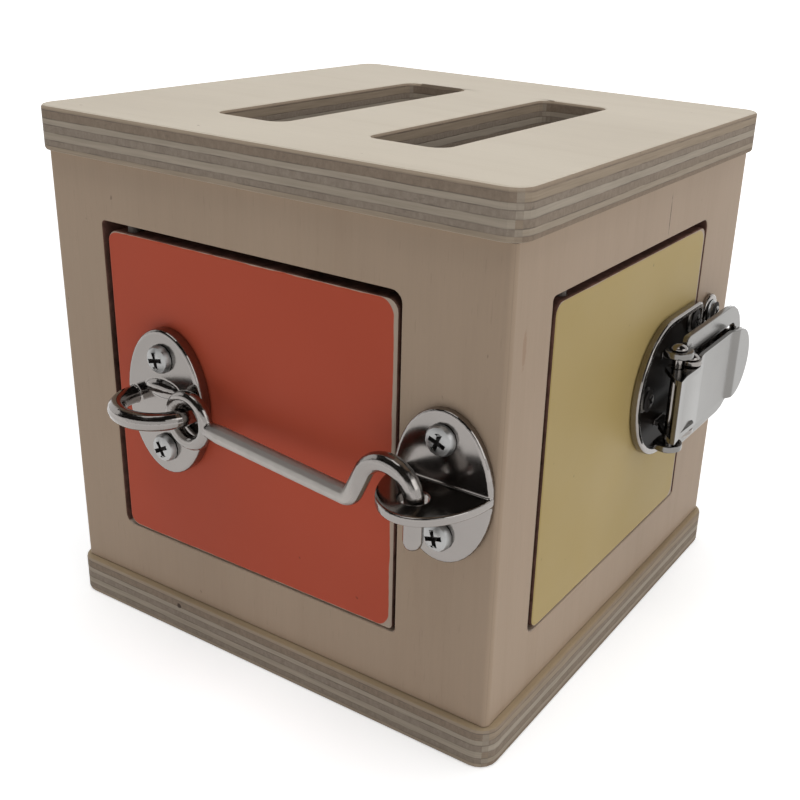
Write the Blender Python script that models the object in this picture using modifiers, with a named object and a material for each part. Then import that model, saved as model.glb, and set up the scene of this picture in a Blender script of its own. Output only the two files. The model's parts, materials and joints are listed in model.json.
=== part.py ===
"""Wooden latch box: a plywood cube with a door in each side, each door held by another kind of latch.

Metres, +Z up. The origin is the centre of the underside and the front looks along -Y.
Each side has its own frame, an empty on the wall's outer face: x to the right as seen from
outside, y up and z out of the wall. Every piece of that side is drawn and placed in it.
"""

import math

import bmesh
import bpy
from mathutils import Matrix, Vector

# Box
BOX_SIDE = 0.150
BOX_HEIGHT = 0.150
PLATE_THICKNESS = 0.012
PLATE_CORNER = 0.0055
PLATE_EDGE = 0.0008
OVERHANG = 0.002
WALL_THICKNESS = 0.009
WALL_CORNER = 0.0015
GLUE_GAP = 0.0002

# Handle slots in the top
SLOT_WIDTH = 0.0225
SLOT_LENGTH = 0.092
SLOT_CORNER = 0.004
SLOT_BAR = 0.0273
SLOT_SHIFT_X = 0.0026
SLOT_SHIFT_Y = -0.004

# Door openings, by the width of the frame round them
STILE_LEFT = 0.0191
STILE_RIGHT = 0.0288
RAIL_BOTTOM = 0.0174
RAIL_TOP = 0.0164
OPENING_CORNER_ROUND = 0.003
OPENING_CORNER_TIGHT = 0.0012
OPENING_EDGE = 0.0004

# Doors
DOOR_THICKNESS = 0.009
DOOR_CORNER_ROUND = 0.0032
DOOR_CORNER_TIGHT = 0.0014
DOOR_EDGE = 0.0006
DOOR_GAP_LEFT = 0.0019
DOOR_GAP_RIGHT = 0.0008
DOOR_GAP_TOP = 0.0021
DOOR_GAP_BOTTOM = 0.0005
PIVOT_INSET = 0.007
PIVOT_SETBACK = 0.003
PIVOT_RADIUS = 0.0015
PIVOT_REACH = 0.010

# Fits
FIT_GAP = 0.0003
SEAT_GAP = 0.0002
OVERRUN = 0.003
WELD = 0.000001

# Screws: large ones on the hook plates, small ones on the rest
LARGE_HEAD_RADIUS = 0.0040
LARGE_HEAD_HEIGHT = 0.0024
LARGE_SHANK_RADIUS = 0.0016
LARGE_SHANK_LENGTH = 0.0085
SMALL_HEAD_RADIUS = 0.0029
SMALL_HEAD_HEIGHT = 0.0019
SMALL_SHANK_RADIUS = 0.0012
SMALL_SHANK_LENGTH = 0.0070
HEAD_SHARES = ((0.0, 1.0), (0.55, 0.94), (0.88, 0.68), (1.0, 0.3), (1.0, 0.0))
TIP_SHARE = 0.25
RECESS_LENGTH_SHARE = 0.55
RECESS_WIDTH_SHARE = 0.14
RECESS_DEPTH_SHARE = 0.6
RECESS_TAPER_SHARE = 0.6

# Hook and eye on the front
EYE_INSET = 0.0233
EYE_RISE = 0.0001
EYE_PLATE_WIDTH = 0.0278
EYE_PLATE_HEIGHT = 0.042
EYE_PLATE_THICKNESS = 0.0036
EYE_PLATE_ROUND = 0.0009
EYE_SCREW_SPACING = 0.026
RING_RADIUS = 0.0111
RING_WIRE_RADIUS = 0.0025
RING_STANDOFF = 0.0055
RING_START = -22
BOSS_WIDTH = 0.013
BOSS_HEIGHT = 0.0052
BOSS_DEPTH = 0.004
BOSS_RISE = 0.0042
HOOK_OFFSET_X = 0.0012
HOOK_OFFSET_OUT = 0.0014
HOOK_SAG = 0.0006
HOOK_WIRE_RADIUS = 0.0025
HOOK_EYE_RADIUS = 0.0064
HOOK_EYE_WIRE_RADIUS = 0.0020
HOOK_NECK = 0.005
HOOK_ELBOW_DROP = 0.0033
HOOK_ELBOW_BACK = 0.0190
HOOK_CROWN_RISE = 0.0094
HOOK_CROWN_WIDTH = 0.0130
HOOK_ELBOW_RADIUS = 0.0030
HOOK_CROWN_RADIUS = 0.0076
HOOK_TIP_DROP = 0.0106
CATCH_OUTSET = 0.0138
CATCH_RISE = 0.0014
CATCH_WIDTH = 0.0274
CATCH_PLATE_HEIGHT = 0.040
CATCH_THICKNESS = 0.0022
CATCH_ROUND = 0.0007
CATCH_SCREW_SPACING = 0.0252
SHELF_RISE = 0.0012
SHELF_THICKNESS = 0.0024
SHELF_WIDTH = 0.0280
SHELF_REACH = 0.0210
SHELF_ROOT = 0.0012
SHELF_ROUND = 0.0005
SHELF_HOLE_OUT = 0.0118
SHELF_HOLE_SHIFT = -0.0010
SHELF_HOLE_RADIUS = 0.0036

# Draw latch on the right, with x from the latch's own origin
LATCH_INSET = 0.0442
LATCH_RISE = 0.0007
TRAY_ROUND_X = 0.0203
TRAY_RADIUS = 0.021
TRAY_END_X = 0.0436
TRAY_CORNER = 0.003
TRAY_DEPTH = 0.0024
TRAY_FLOOR = 0.001
TRAY_RIM = 0.0018
TRAY_ROUND = 0.0006
TRAY_SCREW_LEFT_INSET = 0.0072
TRAY_SCREW_RIGHT_INSET = 0.0060
TRAY_SCREW_SIDE_INSET = 0.0052
RIVET_RADIUS = 0.0014
RIVET_HEAD_RADIUS = 0.0026
RIVET_HEAD_HEIGHT = 0.0015
LEVER_PIN_X = 0.0172
LEVER_PIN_OUT = 0.0095
LINK_PIN_X = 0.0120
LINK_PIN_OUT = 0.0076
EAR_RADIUS = 0.0033
EAR_FOOT_LEAD = 0.0011
EAR_FOOT_WIDTH = 0.0062
EAR_SHOULDER = 0.0065
EAR_THICKNESS = 0.0015
LEVER_SHEET = 0.0013
LEVER_NARROW = 0.0192
LEVER_WIDE = 0.0224
LEVER_HEEL_X = 0.0010
LEVER_HEEL_OUT = 0.0124
LEVER_STEP_X = 0.0215
LEVER_STEP_OUT = 0.0108
LEVER_PLATE_OUT = 0.0105
LEVER_PLATE_END_X = 0.0482
LEVER_TAB_RISE = 0.0015
LEVER_TAB_RUN = 0.0030
LEVER_TAB_END_X = 0.0630
LEVER_BEND = 0.002
FLANGE_THICKNESS = 0.0015
FLANGE_ROUND = 0.0032
FLANGE_CORNER = 0.0006
LINK_STRAP = 0.0061
LINK_SHEET = 0.0018
LINK_ARM_START_X = 0.0160
LINK_NECK_X = 0.0208
LINK_END_X = 0.0642
LINK_OUTER_CORNER = 0.0125
LINK_INNER_CORNER = 0.003
LINK_EAR_RADIUS = 0.0033
LINK_EAR_INSET = 0.0024
LINK_EAR_THICKNESS = 0.0018
LINK_EAR_TAIL = 0.0070
KEEPER_X = 0.0530
KEEPER_LOBE_RADIUS = 0.0055
KEEPER_SCREW_SPACING = 0.0292
KEEPER_THICKNESS = 0.0015
KEEPER_HOOK_WIDTH = 0.018
KEEPER_HOOK_SHEET = 0.0013
KEEPER_HOOK_BEND = 0.0014
KEEPER_LIP = 0.0040
KEEPER_ROOT = 0.0008

# Barrel bolt on the left
BOLT_DROP = 0.0125
BOLT_PLATE_INSET = 0.0407
BOLT_PLATE_LENGTH = 0.039
BOLT_PLATE_WIDTH = 0.024
BOLT_PLATE_THICKNESS = 0.0012
BOLT_PLATE_CORNER = 0.002
BOLT_SCREW_MARGIN = 0.0034
BOLT_RADIUS = 0.0026
BOLT_LENGTH = 0.0355
BOLT_THROW = 0.021
BOLT_END_GAP = 0.0012
BOLT_END_ROUND = 0.0008
BARREL_WALL = 0.0014
BARREL_LENGTH = 0.033
BARREL_AXIS_OUT = 0.0046
BARREL_INSET = 0.0022
KNOB_BACK = 0.0300
KNOB_STEM_RADIUS = 0.0015
KNOB_RADIUS = 0.0032
KNOB_STANDOFF = 0.0085
LOOP_OUTSET = 0.0158
LOOP_LENGTH = 0.010
LOOP_PLATE_LENGTH = 0.017
LOOP_PLATE_WIDTH = 0.023

# Turn button on the back
BUTTON_OUTSET = 0.0138
BUTTON_PLATE_RADIUS = 0.013
BUTTON_PLATE_THICKNESS = 0.0012
BUTTON_SCREW_SPACING = 0.018
BUTTON_BOSS_RADIUS = 0.0042
BUTTON_BOSS_HEIGHT = 0.0024
BUTTON_HUB_RADIUS = 0.0055
BUTTON_ARM = 0.020
BUTTON_ARM_RADIUS = 0.0042
BUTTON_TAIL = 0.0045
BUTTON_TAIL_RADIUS = 0.0045
BUTTON_THICKNESS = 0.0024
BUTTON_ROUND = 0.0005
BUTTON_FOOT_CLEARANCE = 0.0009
BUTTON_RIVET_RADIUS = 0.0022
BUTTON_RIVET_HEAD_RADIUS = 0.0042
BUTTON_RIVET_HEAD_HEIGHT = 0.0020
BUTTON_RIVET_SHANK = 0.0050

# Worked out from the sizes above
BODY_SIDE = BOX_SIDE - 2 * OVERHANG
WALL_HEIGHT = BOX_HEIGHT - 2 * PLATE_THICKNESS - 2 * GLUE_GAP
OPENING_LEFT = STILE_LEFT - BODY_SIDE / 2
OPENING_RIGHT = BODY_SIDE / 2 - STILE_RIGHT
OPENING_SILL = PLATE_THICKNESS + RAIL_BOTTOM
OPENING_HEAD = BOX_HEIGHT - PLATE_THICKNESS - RAIL_TOP
OPENING_SPOT = ((OPENING_LEFT + OPENING_RIGHT) / 2, (OPENING_SILL + OPENING_HEAD) / 2)
OPENING_CORNERS = (OPENING_CORNER_ROUND, OPENING_CORNER_TIGHT) * 2
DOOR_CORNERS = (DOOR_CORNER_ROUND, DOOR_CORNER_TIGHT, DOOR_CORNER_ROUND, DOOR_CORNER_ROUND)
DOOR_LEFT = OPENING_LEFT + DOOR_GAP_LEFT
DOOR_RIGHT = OPENING_RIGHT - DOOR_GAP_RIGHT
DOOR_BOTTOM = OPENING_SILL + DOOR_GAP_BOTTOM
DOOR_TOP = OPENING_HEAD - DOOR_GAP_TOP
DOOR_MIDDLE = (DOOR_BOTTOM + DOOR_TOP) / 2
PIVOT_X = DOOR_LEFT + PIVOT_INSET
EYE_X = OPENING_LEFT + EYE_INSET
EYE_HEIGHT = OPENING_SPOT[1] + EYE_RISE
CATCH_X = OPENING_RIGHT + CATCH_OUTSET
CATCH_HEIGHT = EYE_HEIGHT + CATCH_RISE
LATCH_X = OPENING_RIGHT - LATCH_INSET
LATCH_HEIGHT = OPENING_SPOT[1] + LATCH_RISE
BOLT_PLATE_X = OPENING_RIGHT - BOLT_PLATE_INSET
LOOP_X = OPENING_RIGHT + LOOP_OUTSET
BOLT_HEIGHT = OPENING_SPOT[1] - BOLT_DROP
BUTTON_SPOT = (OPENING_RIGHT + BUTTON_OUTSET, OPENING_SPOT[1])
LEVER_PIN_HALF = LEVER_NARROW / 2 + FIT_GAP + EAR_THICKNESS + SEAT_GAP
LINK_EAR_INNER = LEVER_PIN_HALF + RIVET_HEAD_HEIGHT + FIT_GAP
LINK_HALF = LINK_EAR_INNER + LINK_EAR_THICKNESS + LINK_EAR_INSET

# Ways to lay an outline in a side's frame: on the wall, level, or across the wall
FLAT = Matrix.Identity(4)
LEVEL = Matrix.Rotation(math.pi / 2, 4, "X")
ACROSS = Matrix.Rotation(math.pi / 2, 4, "Z") @ LEVEL
UPRIGHT = Matrix.Rotation(-math.pi / 2, 4, "X")

SIDES = {"front": 0, "right": 90, "back": 180, "left": 270}
DOOR_COLOURS = {
    "front": ("red", (0.71, 0.12, 0.075)),
    "right": ("yellow", (0.62, 0.42, 0.12)),
    "back": ("green", (0.16, 0.34, 0.13)),
    "left": ("blue", (0.07, 0.22, 0.45)),
}


def clear_scene():
    for obj in list(bpy.data.objects):
        bpy.data.objects.remove(obj)


def new_collection(name):
    made = bpy.data.collections.new(name)
    bpy.context.scene.collection.children.link(made)
    return made


def new_material(name, colour, roughness, metallic):
    material = bpy.data.materials.new(name)
    material.use_nodes = True
    shader = material.node_tree.nodes["Principled BSDF"]
    shader.inputs["Base Color"].default_value = (*colour, 1)
    shader.inputs["Roughness"].default_value = roughness
    shader.inputs["Metallic"].default_value = metallic
    return material


# Outlines, as lists of (x, y)


def arc(centre, radius, start, end, steps, radius_y=None):
    """Points from start to end degrees, on an ellipse where radius_y is given."""
    points = []
    for step in range(steps + 1):
        angle = math.radians(start + (end - start) * step / steps)
        x = centre[0] + radius * math.cos(angle)
        y = centre[1] + (radius_y or radius) * math.sin(angle)
        points.append((x, y))
    return points


def ring(centre, radius, steps=40, radius_y=None):
    return arc(centre, radius, 0, 360, steps, radius_y)[:-1]


def fillet(before, corner, after, radius, steps):
    """The arc that rounds one corner of a path."""
    corner = Vector(corner)
    back = (Vector(before) - corner).normalized()
    ahead = (Vector(after) - corner).normalized()
    half = back.angle(ahead) / 2
    if radius == 0 or math.sin(half) > math.cos(0):
        return [tuple(corner)]
    middle = corner + (back + ahead).normalized() * radius / math.sin(half)
    first = corner + back * radius / math.tan(half) - middle
    turn = math.pi - 2 * half
    if back.x * ahead.y - back.y * ahead.x > 0:
        turn = -turn
    spots = [middle + Matrix.Rotation(turn * step / steps, 2) @ first for step in range(steps + 1)]
    return [tuple(spot) for spot in spots]


def rounded(corners, radii, closed=True, steps=5):
    """The path through these corners, each rounded by its own radius."""
    if not hasattr(radii, "__len__"):
        radii = [radii] * len(corners)
    points = []
    last = len(corners) - 1
    for index, corner in enumerate(corners):
        if not closed and index in (0, last):
            points.append(tuple(corner))
            continue
        before = corners[index - 1]
        after = corners[(index + 1) % len(corners)]
        points += fillet(before, corner, after, radii[index], steps)
    return points


def rectangle(centre, width, height, corner=0, steps=5):
    x, y = centre
    half_w, half_h = width / 2, height / 2
    corners = [(x - half_w, y - half_h), (x + half_w, y - half_h), (x + half_w, y + half_h)]
    corners.append((x - half_w, y + half_h))
    return rounded(corners, corner, steps=steps)


def strip(path, thickness):
    """The closed outline of a sheet bent along an open path."""
    sides = ([], [])
    for index, point in enumerate(path):
        runs = []
        for first in (index - 1, index):
            if 0 <= first < len(path) - 1:
                runs.append((Vector(path[first + 1]) - Vector(path[first])).normalized())
        along = sum(runs, Vector((0, 0))).normalized()
        stretch = 1 / along.dot(runs[0])
        across = Vector((-along.y, along.x)) * stretch * thickness / 2
        sides[0].append(tuple(Vector(point) + across))
        sides[1].append(tuple(Vector(point) - across))
    return sides[1] + sides[0][::-1]


def hull(circles, steps=24):
    """The convex outline round circles given as (x, y, radius)."""
    spots = sorted({spot for x, y, radius in circles for spot in ring((x, y), radius, steps)})
    halves = []
    for order in (spots, spots[::-1]):
        chain = []
        for spot in order:
            while len(chain) > 1:
                first = Vector(chain[-1]) - Vector(chain[-2])
                second = Vector(spot) - Vector(chain[-1])
                if first.x * second.y - first.y * second.x > 0:
                    break
                chain.pop()
            chain.append(spot)
        halves.append(chain[:-1])
    return halves[0] + halves[1]


# Meshes


def tidy(mesh):
    """Welds a mesh's loose caps and turns its faces outwards."""
    bm = bmesh.new()
    bm.from_mesh(mesh)
    bmesh.ops.remove_doubles(bm, verts=bm.verts, dist=WELD)
    bmesh.ops.recalc_face_normals(bm, faces=bm.faces)
    bm.to_mesh(mesh)
    bm.free()
    return mesh


def evaluated(data, modify=None):
    """The mesh that an object with this data, and the modifiers that modify adds, comes to."""
    guide = bpy.data.objects.new("guide", data)
    bpy.context.scene.collection.objects.link(guide)
    if modify:
        modify(guide)
    graph = bpy.context.evaluated_depsgraph_get()
    mesh = bpy.data.meshes.new_from_object(guide.evaluated_get(graph))
    bpy.data.objects.remove(guide)
    return tidy(mesh)


def soften(mesh, level, width, both):
    """Rounds the rims of a flat piece at its upper level, or at both levels."""
    bm = bmesh.new()
    bm.from_mesh(mesh)
    bmesh.ops.dissolve_limit(bm, angle_limit=math.radians(0.05), verts=bm.verts, edges=bm.edges)
    rims = []
    for edge in bm.edges:
        heights = [vertex.co.z for vertex in edge.verts]
        on_top = min(heights) > level - WELD
        below = max(heights) < WELD - level
        if (on_top or (both and below)) and edge.calc_face_angle(0) > math.radians(40):
            rims.append(edge)
    bmesh.ops.bevel(bm, geom=rims, offset=width, segments=2, profile=0.5, affect="EDGES")
    bm.to_mesh(mesh)
    bm.free()
    return mesh


def slab(loops, thickness, way=FLAT, edge=0, both=False):
    """A flat piece with these outlines, centred on its own plane and then laid that way."""
    curve = bpy.data.curves.new("outline", "CURVE")
    curve.dimensions = "2D"
    curve.fill_mode = "BOTH"
    curve.extrude = thickness / 2
    for loop in loops:
        spline = curve.splines.new("POLY")
        spline.points.add(len(loop) - 1)
        for point, (x, y) in zip(spline.points, loop):
            point.co = (x, y, 0, 1)
        spline.use_cyclic_u = True
    mesh = evaluated(curve)
    if edge:
        soften(mesh, thickness / 2, edge, both)
    mesh.transform(way)
    return mesh


def tube(points, radius, closed=False, resolution=4):
    """A round wire along points given as (x, y, z, share of the radius)."""
    curve = bpy.data.curves.new("wire", "CURVE")
    curve.dimensions = "3D"
    curve.bevel_depth = radius
    curve.bevel_resolution = resolution
    curve.use_fill_caps = True
    spline = curve.splines.new("POLY")
    spline.points.add(len(points) - 1)
    for point, (x, y, z, share) in zip(spline.points, points):
        point.co = (x, y, z, 1)
        point.radius = share
    spline.use_cyclic_u = closed
    return evaluated(curve)


def turned(profile, way=FLAT, steps=16):
    """A round piece turned about its z axis from (radius, height) pairs, top to bottom."""
    mesh = bpy.data.meshes.new("profile")
    edges = [(index, index + 1) for index in range(len(profile) - 1)]
    mesh.from_pydata([(radius, 0, height) for radius, height in profile], edges, [])

    def add_screw(guide):
        modifier = guide.modifiers.new("turn", "SCREW")
        modifier.steps = steps
        modifier.render_steps = steps
        modifier.use_merge_vertices = True
        modifier.merge_threshold = WELD

    mesh = evaluated(mesh, add_screw)
    mesh.transform(way)
    return mesh


def rod(radius, length, way=FLAT, steps=24):
    """A plain cylinder centred on its own middle."""
    bm = bmesh.new()
    bmesh.ops.create_cone(
        bm, cap_ends=True, segments=steps, radius1=radius, radius2=radius, depth=length
    )
    mesh = bpy.data.meshes.new("rod")
    bm.to_mesh(mesh)
    bm.free()
    mesh.transform(way)
    return mesh


def moved(mesh, spot):
    mesh.transform(Matrix.Translation(spot))
    return mesh


def about(mesh, origin):
    """The mesh with this point of it brought to its origin."""
    return moved(mesh, -Vector(origin))


def combined(mesh, others, operation="UNION"):
    """One mesh joined with, cut by or trimmed to the others."""
    helpers = []

    def add_booleans(guide):
        for other in others:
            helper = bpy.data.objects.new("helper", other)
            bpy.context.scene.collection.objects.link(helper)
            helpers.append(helper)
            add_boolean(guide, helper, operation)

    mesh = evaluated(mesh, add_booleans)
    for helper in helpers:
        bpy.data.objects.remove(helper)
    return mesh


def add_boolean(target, other, operation="DIFFERENCE"):
    modifier = target.modifiers.new(operation.lower(), "BOOLEAN")
    modifier.operation = operation
    modifier.object = other
    modifier.solver = "EXACT"


# Objects


def place(obj, parent, spot):
    """Puts an object at a spot of the side's frame, under the side or under one of its pivots."""
    obj.parent = parent
    start = parent.location if parent.parent else Vector()
    obj.location = Vector(spot) - start


def piece(name, mesh, material, parent=None, spot=(0, 0, 0), turn=(0, 0, 0)):
    """One named sub-part, drawn about its own origin."""
    mesh = mesh if mesh.users == 0 else mesh.copy()
    mesh.name = name
    mesh.shade_smooth()
    mesh.set_sharp_from_angle(angle=math.radians(35))
    mesh.materials.clear()
    mesh.materials.append(material)
    obj = bpy.data.objects.new(name, mesh)
    parts.objects.link(obj)
    obj.rotation_euler = turn
    if parent:
        place(obj, parent, spot)
    else:
        obj.location = spot
    return obj


def drill(name, mesh, parent, spot, targets):
    """A hidden cutter that is taken out of each target."""
    cutter = bpy.data.objects.new(name, mesh)
    cutters.objects.link(cutter)
    cutter.hide_render = True
    cutter.display_type = "WIRE"
    place(cutter, parent, spot)
    for target in targets:
        add_boolean(target, cutter)


def empty(name, parent, spot):
    made = bpy.data.objects.new(name, None)
    made.empty_display_size = PLATE_THICKNESS
    parts.objects.link(made)
    if parent:
        place(made, parent, spot)
    else:
        made.location = spot
    return made


# Screws


def screw_mesh(head_radius, head_height, shank_radius, shank_length):
    """A pan-head wood screw with a cross recess, seated at the height of its origin."""
    profile = [(head_radius * wide, head_height * high) for wide, high in HEAD_SHARES]
    profile += [(shank_radius, 0), (shank_radius, (TIP_SHARE - 1) * shank_length), (0, -shank_length)]
    body = turned(profile, steps=14)
    length = 2 * head_radius * RECESS_LENGTH_SHARE
    width = 2 * head_radius * RECESS_WIDTH_SHARE
    depth = head_height * RECESS_DEPTH_SHARE
    bars = []
    for long, wide in ((length, width), (width, length)):
        bar = slab([rectangle((0, 0), long, wide)], 2 * depth)
        for vertex in bar.vertices:
            if vertex.co.z < 0:
                vertex.co.x *= RECESS_TAPER_SHARE
                vertex.co.y *= RECESS_TAPER_SHARE
        bars.append(moved(bar, (0, 0, head_height)))
    return combined(body, bars, "DIFFERENCE")


def fasten(name, kind, parent, spot, turn, targets):
    """A screw at a spot whose height is its head's seat, with its hole in every target."""
    mesh, shank_radius, shank_length = screws[kind]
    piece(name, mesh, steel, parent, spot, (0, 0, math.radians(turn)))
    x, y, out = spot
    length = shank_length + FIT_GAP + OVERRUN
    middle = out + OVERRUN - length / 2
    hole = rod(shank_radius + FIT_GAP, length, steps=16)
    drill(name + "_hole", hole, parent, (x, y, middle), targets)


# The box


def build_plates():
    """The base and the top, with two handle slots through the top."""
    outer = rectangle((0, 0), BOX_SIDE, BOX_SIDE, PLATE_CORNER)
    base = slab([outer], PLATE_THICKNESS, edge=PLATE_EDGE, both=True)
    piece("base_plate", base, wood, spot=(0, 0, PLATE_THICKNESS / 2))
    slots = []
    for side in (-1, 1):
        x = SLOT_SHIFT_X + side * (SLOT_BAR + SLOT_WIDTH) / 2
        slots.append(rectangle((x, SLOT_SHIFT_Y), SLOT_WIDTH, SLOT_LENGTH, SLOT_CORNER))
    top = slab([outer, *slots], PLATE_THICKNESS, edge=PLATE_EDGE, both=True)
    piece("top_plate", top, wood, spot=(0, 0, BOX_HEIGHT - PLATE_THICKNESS / 2))


def build_wall(side, frame):
    """One wall, mitred at both ends and rounded over at the box's upright corners."""
    half = BODY_SIDE / 2
    set_back = GLUE_GAP / math.sqrt(2)
    outside = arc((half - WALL_CORNER, WALL_CORNER), WALL_CORNER, -90, -45, 3)
    right = outside + [(half - WALL_THICKNESS, WALL_THICKNESS)]
    right = [(x - set_back if index else x, y) for index, (x, y) in enumerate(right)]
    left = [(-x, y) for x, y in reversed(right)]
    block = slab([right + left], WALL_HEIGHT, UPRIGHT)
    block = moved(block, (0, BOX_HEIGHT / 2, 0))
    width, height = OPENING_RIGHT - OPENING_LEFT, OPENING_HEAD - OPENING_SILL
    opening = rectangle(OPENING_SPOT, width, height, OPENING_CORNERS)
    block = combined(block, [slab([opening], 2 * (WALL_THICKNESS + OVERRUN))], "DIFFERENCE")
    ease_opening(block)
    return piece(side + "_wall", block, wood, frame)


def ease_opening(mesh):
    """Rounds the outer rim of a wall's opening a little."""
    bm = bmesh.new()
    bm.from_mesh(mesh)
    inside = BODY_SIDE / 2 - WALL_THICKNESS
    rims = []
    for edge in bm.edges:
        outer = all(abs(vertex.co.z) < WELD and abs(vertex.co.x) < inside for vertex in edge.verts)
        level = all(PLATE_THICKNESS < vertex.co.y - OVERHANG for vertex in edge.verts)
        under = all(vertex.co.y + OVERHANG < BOX_HEIGHT - PLATE_THICKNESS for vertex in edge.verts)
        if outer and level and under and edge.calc_face_angle(0) > math.radians(40):
            rims.append(edge)
    bmesh.ops.bevel(bm, geom=rims, offset=OPENING_EDGE, segments=2, profile=0.5, affect="EDGES")
    bm.to_mesh(mesh)
    bm.free()


def build_door(side, frame, wall):
    """A door that turns on two pins, with its origin on their axis."""
    name, colour = DOOR_COLOURS[side]
    paint = new_material(name + "_paint", colour, 0.42, 0)
    pivot = empty(name + "_door_pivot", frame, (PIVOT_X, DOOR_MIDDLE, -PIVOT_SETBACK))
    middle_x = (DOOR_LEFT + DOOR_RIGHT) / 2
    width, height = DOOR_RIGHT - DOOR_LEFT, DOOR_TOP - DOOR_BOTTOM
    outline = rectangle((middle_x, DOOR_MIDDLE), width, height, DOOR_CORNERS)
    panel = slab([outline], DOOR_THICKNESS, edge=DOOR_EDGE, both=True)
    moved(panel, (0, 0, -DOOR_THICKNESS / 2))
    spot = (PIVOT_X, DOOR_MIDDLE, -PIVOT_SETBACK)
    door = piece(name + "_door", about(panel, spot), paint, pivot, spot)
    for end, frame_edge, door_edge in (
        ("bottom", OPENING_SILL, DOOR_BOTTOM),
        ("top", OPENING_HEAD, DOOR_TOP),
    ):
        length = 2 * PIVOT_REACH + abs(frame_edge - door_edge)
        spot = (PIVOT_X, (frame_edge + door_edge) / 2, -PIVOT_SETBACK)
        pin_name = f"{name}_door_{end}_pin"
        piece(pin_name, rod(PIVOT_RADIUS, length, LEVEL, 16), steel, frame, spot)
        hole = rod(PIVOT_RADIUS + FIT_GAP, length + 2 * FIT_GAP, LEVEL, 16)
        drill(pin_name + "_hole", hole, frame, spot, [wall, door])
    return door, pivot


# Hook and eye


def build_eye_plate(door, pivot):
    """An oval plate whose wire ring stands out of it, level, with a low boss behind the ring."""
    thickness = EYE_PLATE_THICKNESS
    seat = SEAT_GAP + thickness / 2
    oval = ring((0, 0), EYE_PLATE_WIDTH / 2, 44, EYE_PLATE_HEIGHT / 2)
    plate = moved(slab([oval], thickness, edge=EYE_PLATE_ROUND), (0, 0, seat))
    bend = arc((0, RING_STANDOFF), RING_RADIUS, RING_START, 180 - RING_START, 34)
    wire = tube([(x, 0, out, 1) for x, out in bend], RING_WIRE_RADIUS)
    ball = bmesh.new()
    bmesh.ops.create_uvsphere(ball, u_segments=20, v_segments=10, radius=1)
    boss = bpy.data.meshes.new("boss")
    ball.to_mesh(boss)
    ball.free()
    boss.transform(Matrix.Diagonal((BOSS_WIDTH / 2, BOSS_HEIGHT / 2, BOSS_DEPTH / 2, 1)))
    moved(boss, (0, BOSS_RISE, thickness))
    mesh = combined(plate, [boss, wire])
    eye = piece("eye_plate", mesh, chrome, pivot, (EYE_X, EYE_HEIGHT, 0))
    for end, turn in ((1, 12), (-1, 28)):
        name = "eye_plate_screw_" + ("top" if end > 0 else "bottom")
        spot = (EYE_X, EYE_HEIGHT + end * EYE_SCREW_SPACING / 2, thickness + 2 * SEAT_GAP)
        fasten(name, "large", pivot, spot, turn, [eye, door])


def build_hook(pivot):
    """The hook, bent from one wire, hanging by its eye in the ring with its tip in the catch."""
    eye_x = EYE_X + RING_RADIUS + HOOK_OFFSET_X
    eye_out = RING_STANDOFF + HOOK_OFFSET_OUT
    run, lead = CATCH_X + SHELF_HOLE_SHIFT - eye_x, SHELF_HOLE_OUT - eye_out
    reach = math.hypot(run, lead)
    eye = tube([(x, y, 0, 1) for x, y in ring((0, 0), HOOK_EYE_RADIUS, 28)], HOOK_EYE_WIRE_RADIUS, True)
    elbow = (reach - HOOK_ELBOW_BACK, -HOOK_ELBOW_DROP)
    droop = math.atan2(elbow[1], elbow[0])
    start = (HOOK_EYE_RADIUS * math.cos(droop), HOOK_EYE_RADIUS * math.sin(droop))
    neck = HOOK_EYE_RADIUS + HOOK_NECK
    corners = [
        start,
        elbow,
        (reach - HOOK_CROWN_WIDTH, HOOK_CROWN_RISE),
        (reach, HOOK_CROWN_RISE),
        (reach, HOOK_WIRE_RADIUS - HOOK_TIP_DROP),
    ]
    radii = [0, HOOK_ELBOW_RADIUS, HOOK_CROWN_RADIUS, HOOK_CROWN_RADIUS, 0]
    path = rounded(corners, radii, closed=False, steps=7)
    narrow = HOOK_EYE_WIRE_RADIUS / HOOK_WIRE_RADIUS
    points = [(*path[0], 0, narrow), (neck * math.cos(droop), neck * math.sin(droop), 0, 1)]
    points += [(x, y, 0, 1) for x, y in path[1:]]
    for angle in (30, 55, 75):
        low = math.radians(angle)
        fall = HOOK_WIRE_RADIUS * (1 - math.sin(low))
        points.append((reach, fall - HOOK_TIP_DROP, 0, math.cos(low)))
    wire = tube(points, HOOK_WIRE_RADIUS)
    mesh = combined(wire, [eye])
    spot = (eye_x, EYE_HEIGHT - HOOK_SAG, eye_out)
    piece("hook", mesh, chrome, pivot, spot, (0, -math.atan2(lead, run), 0))


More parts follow.
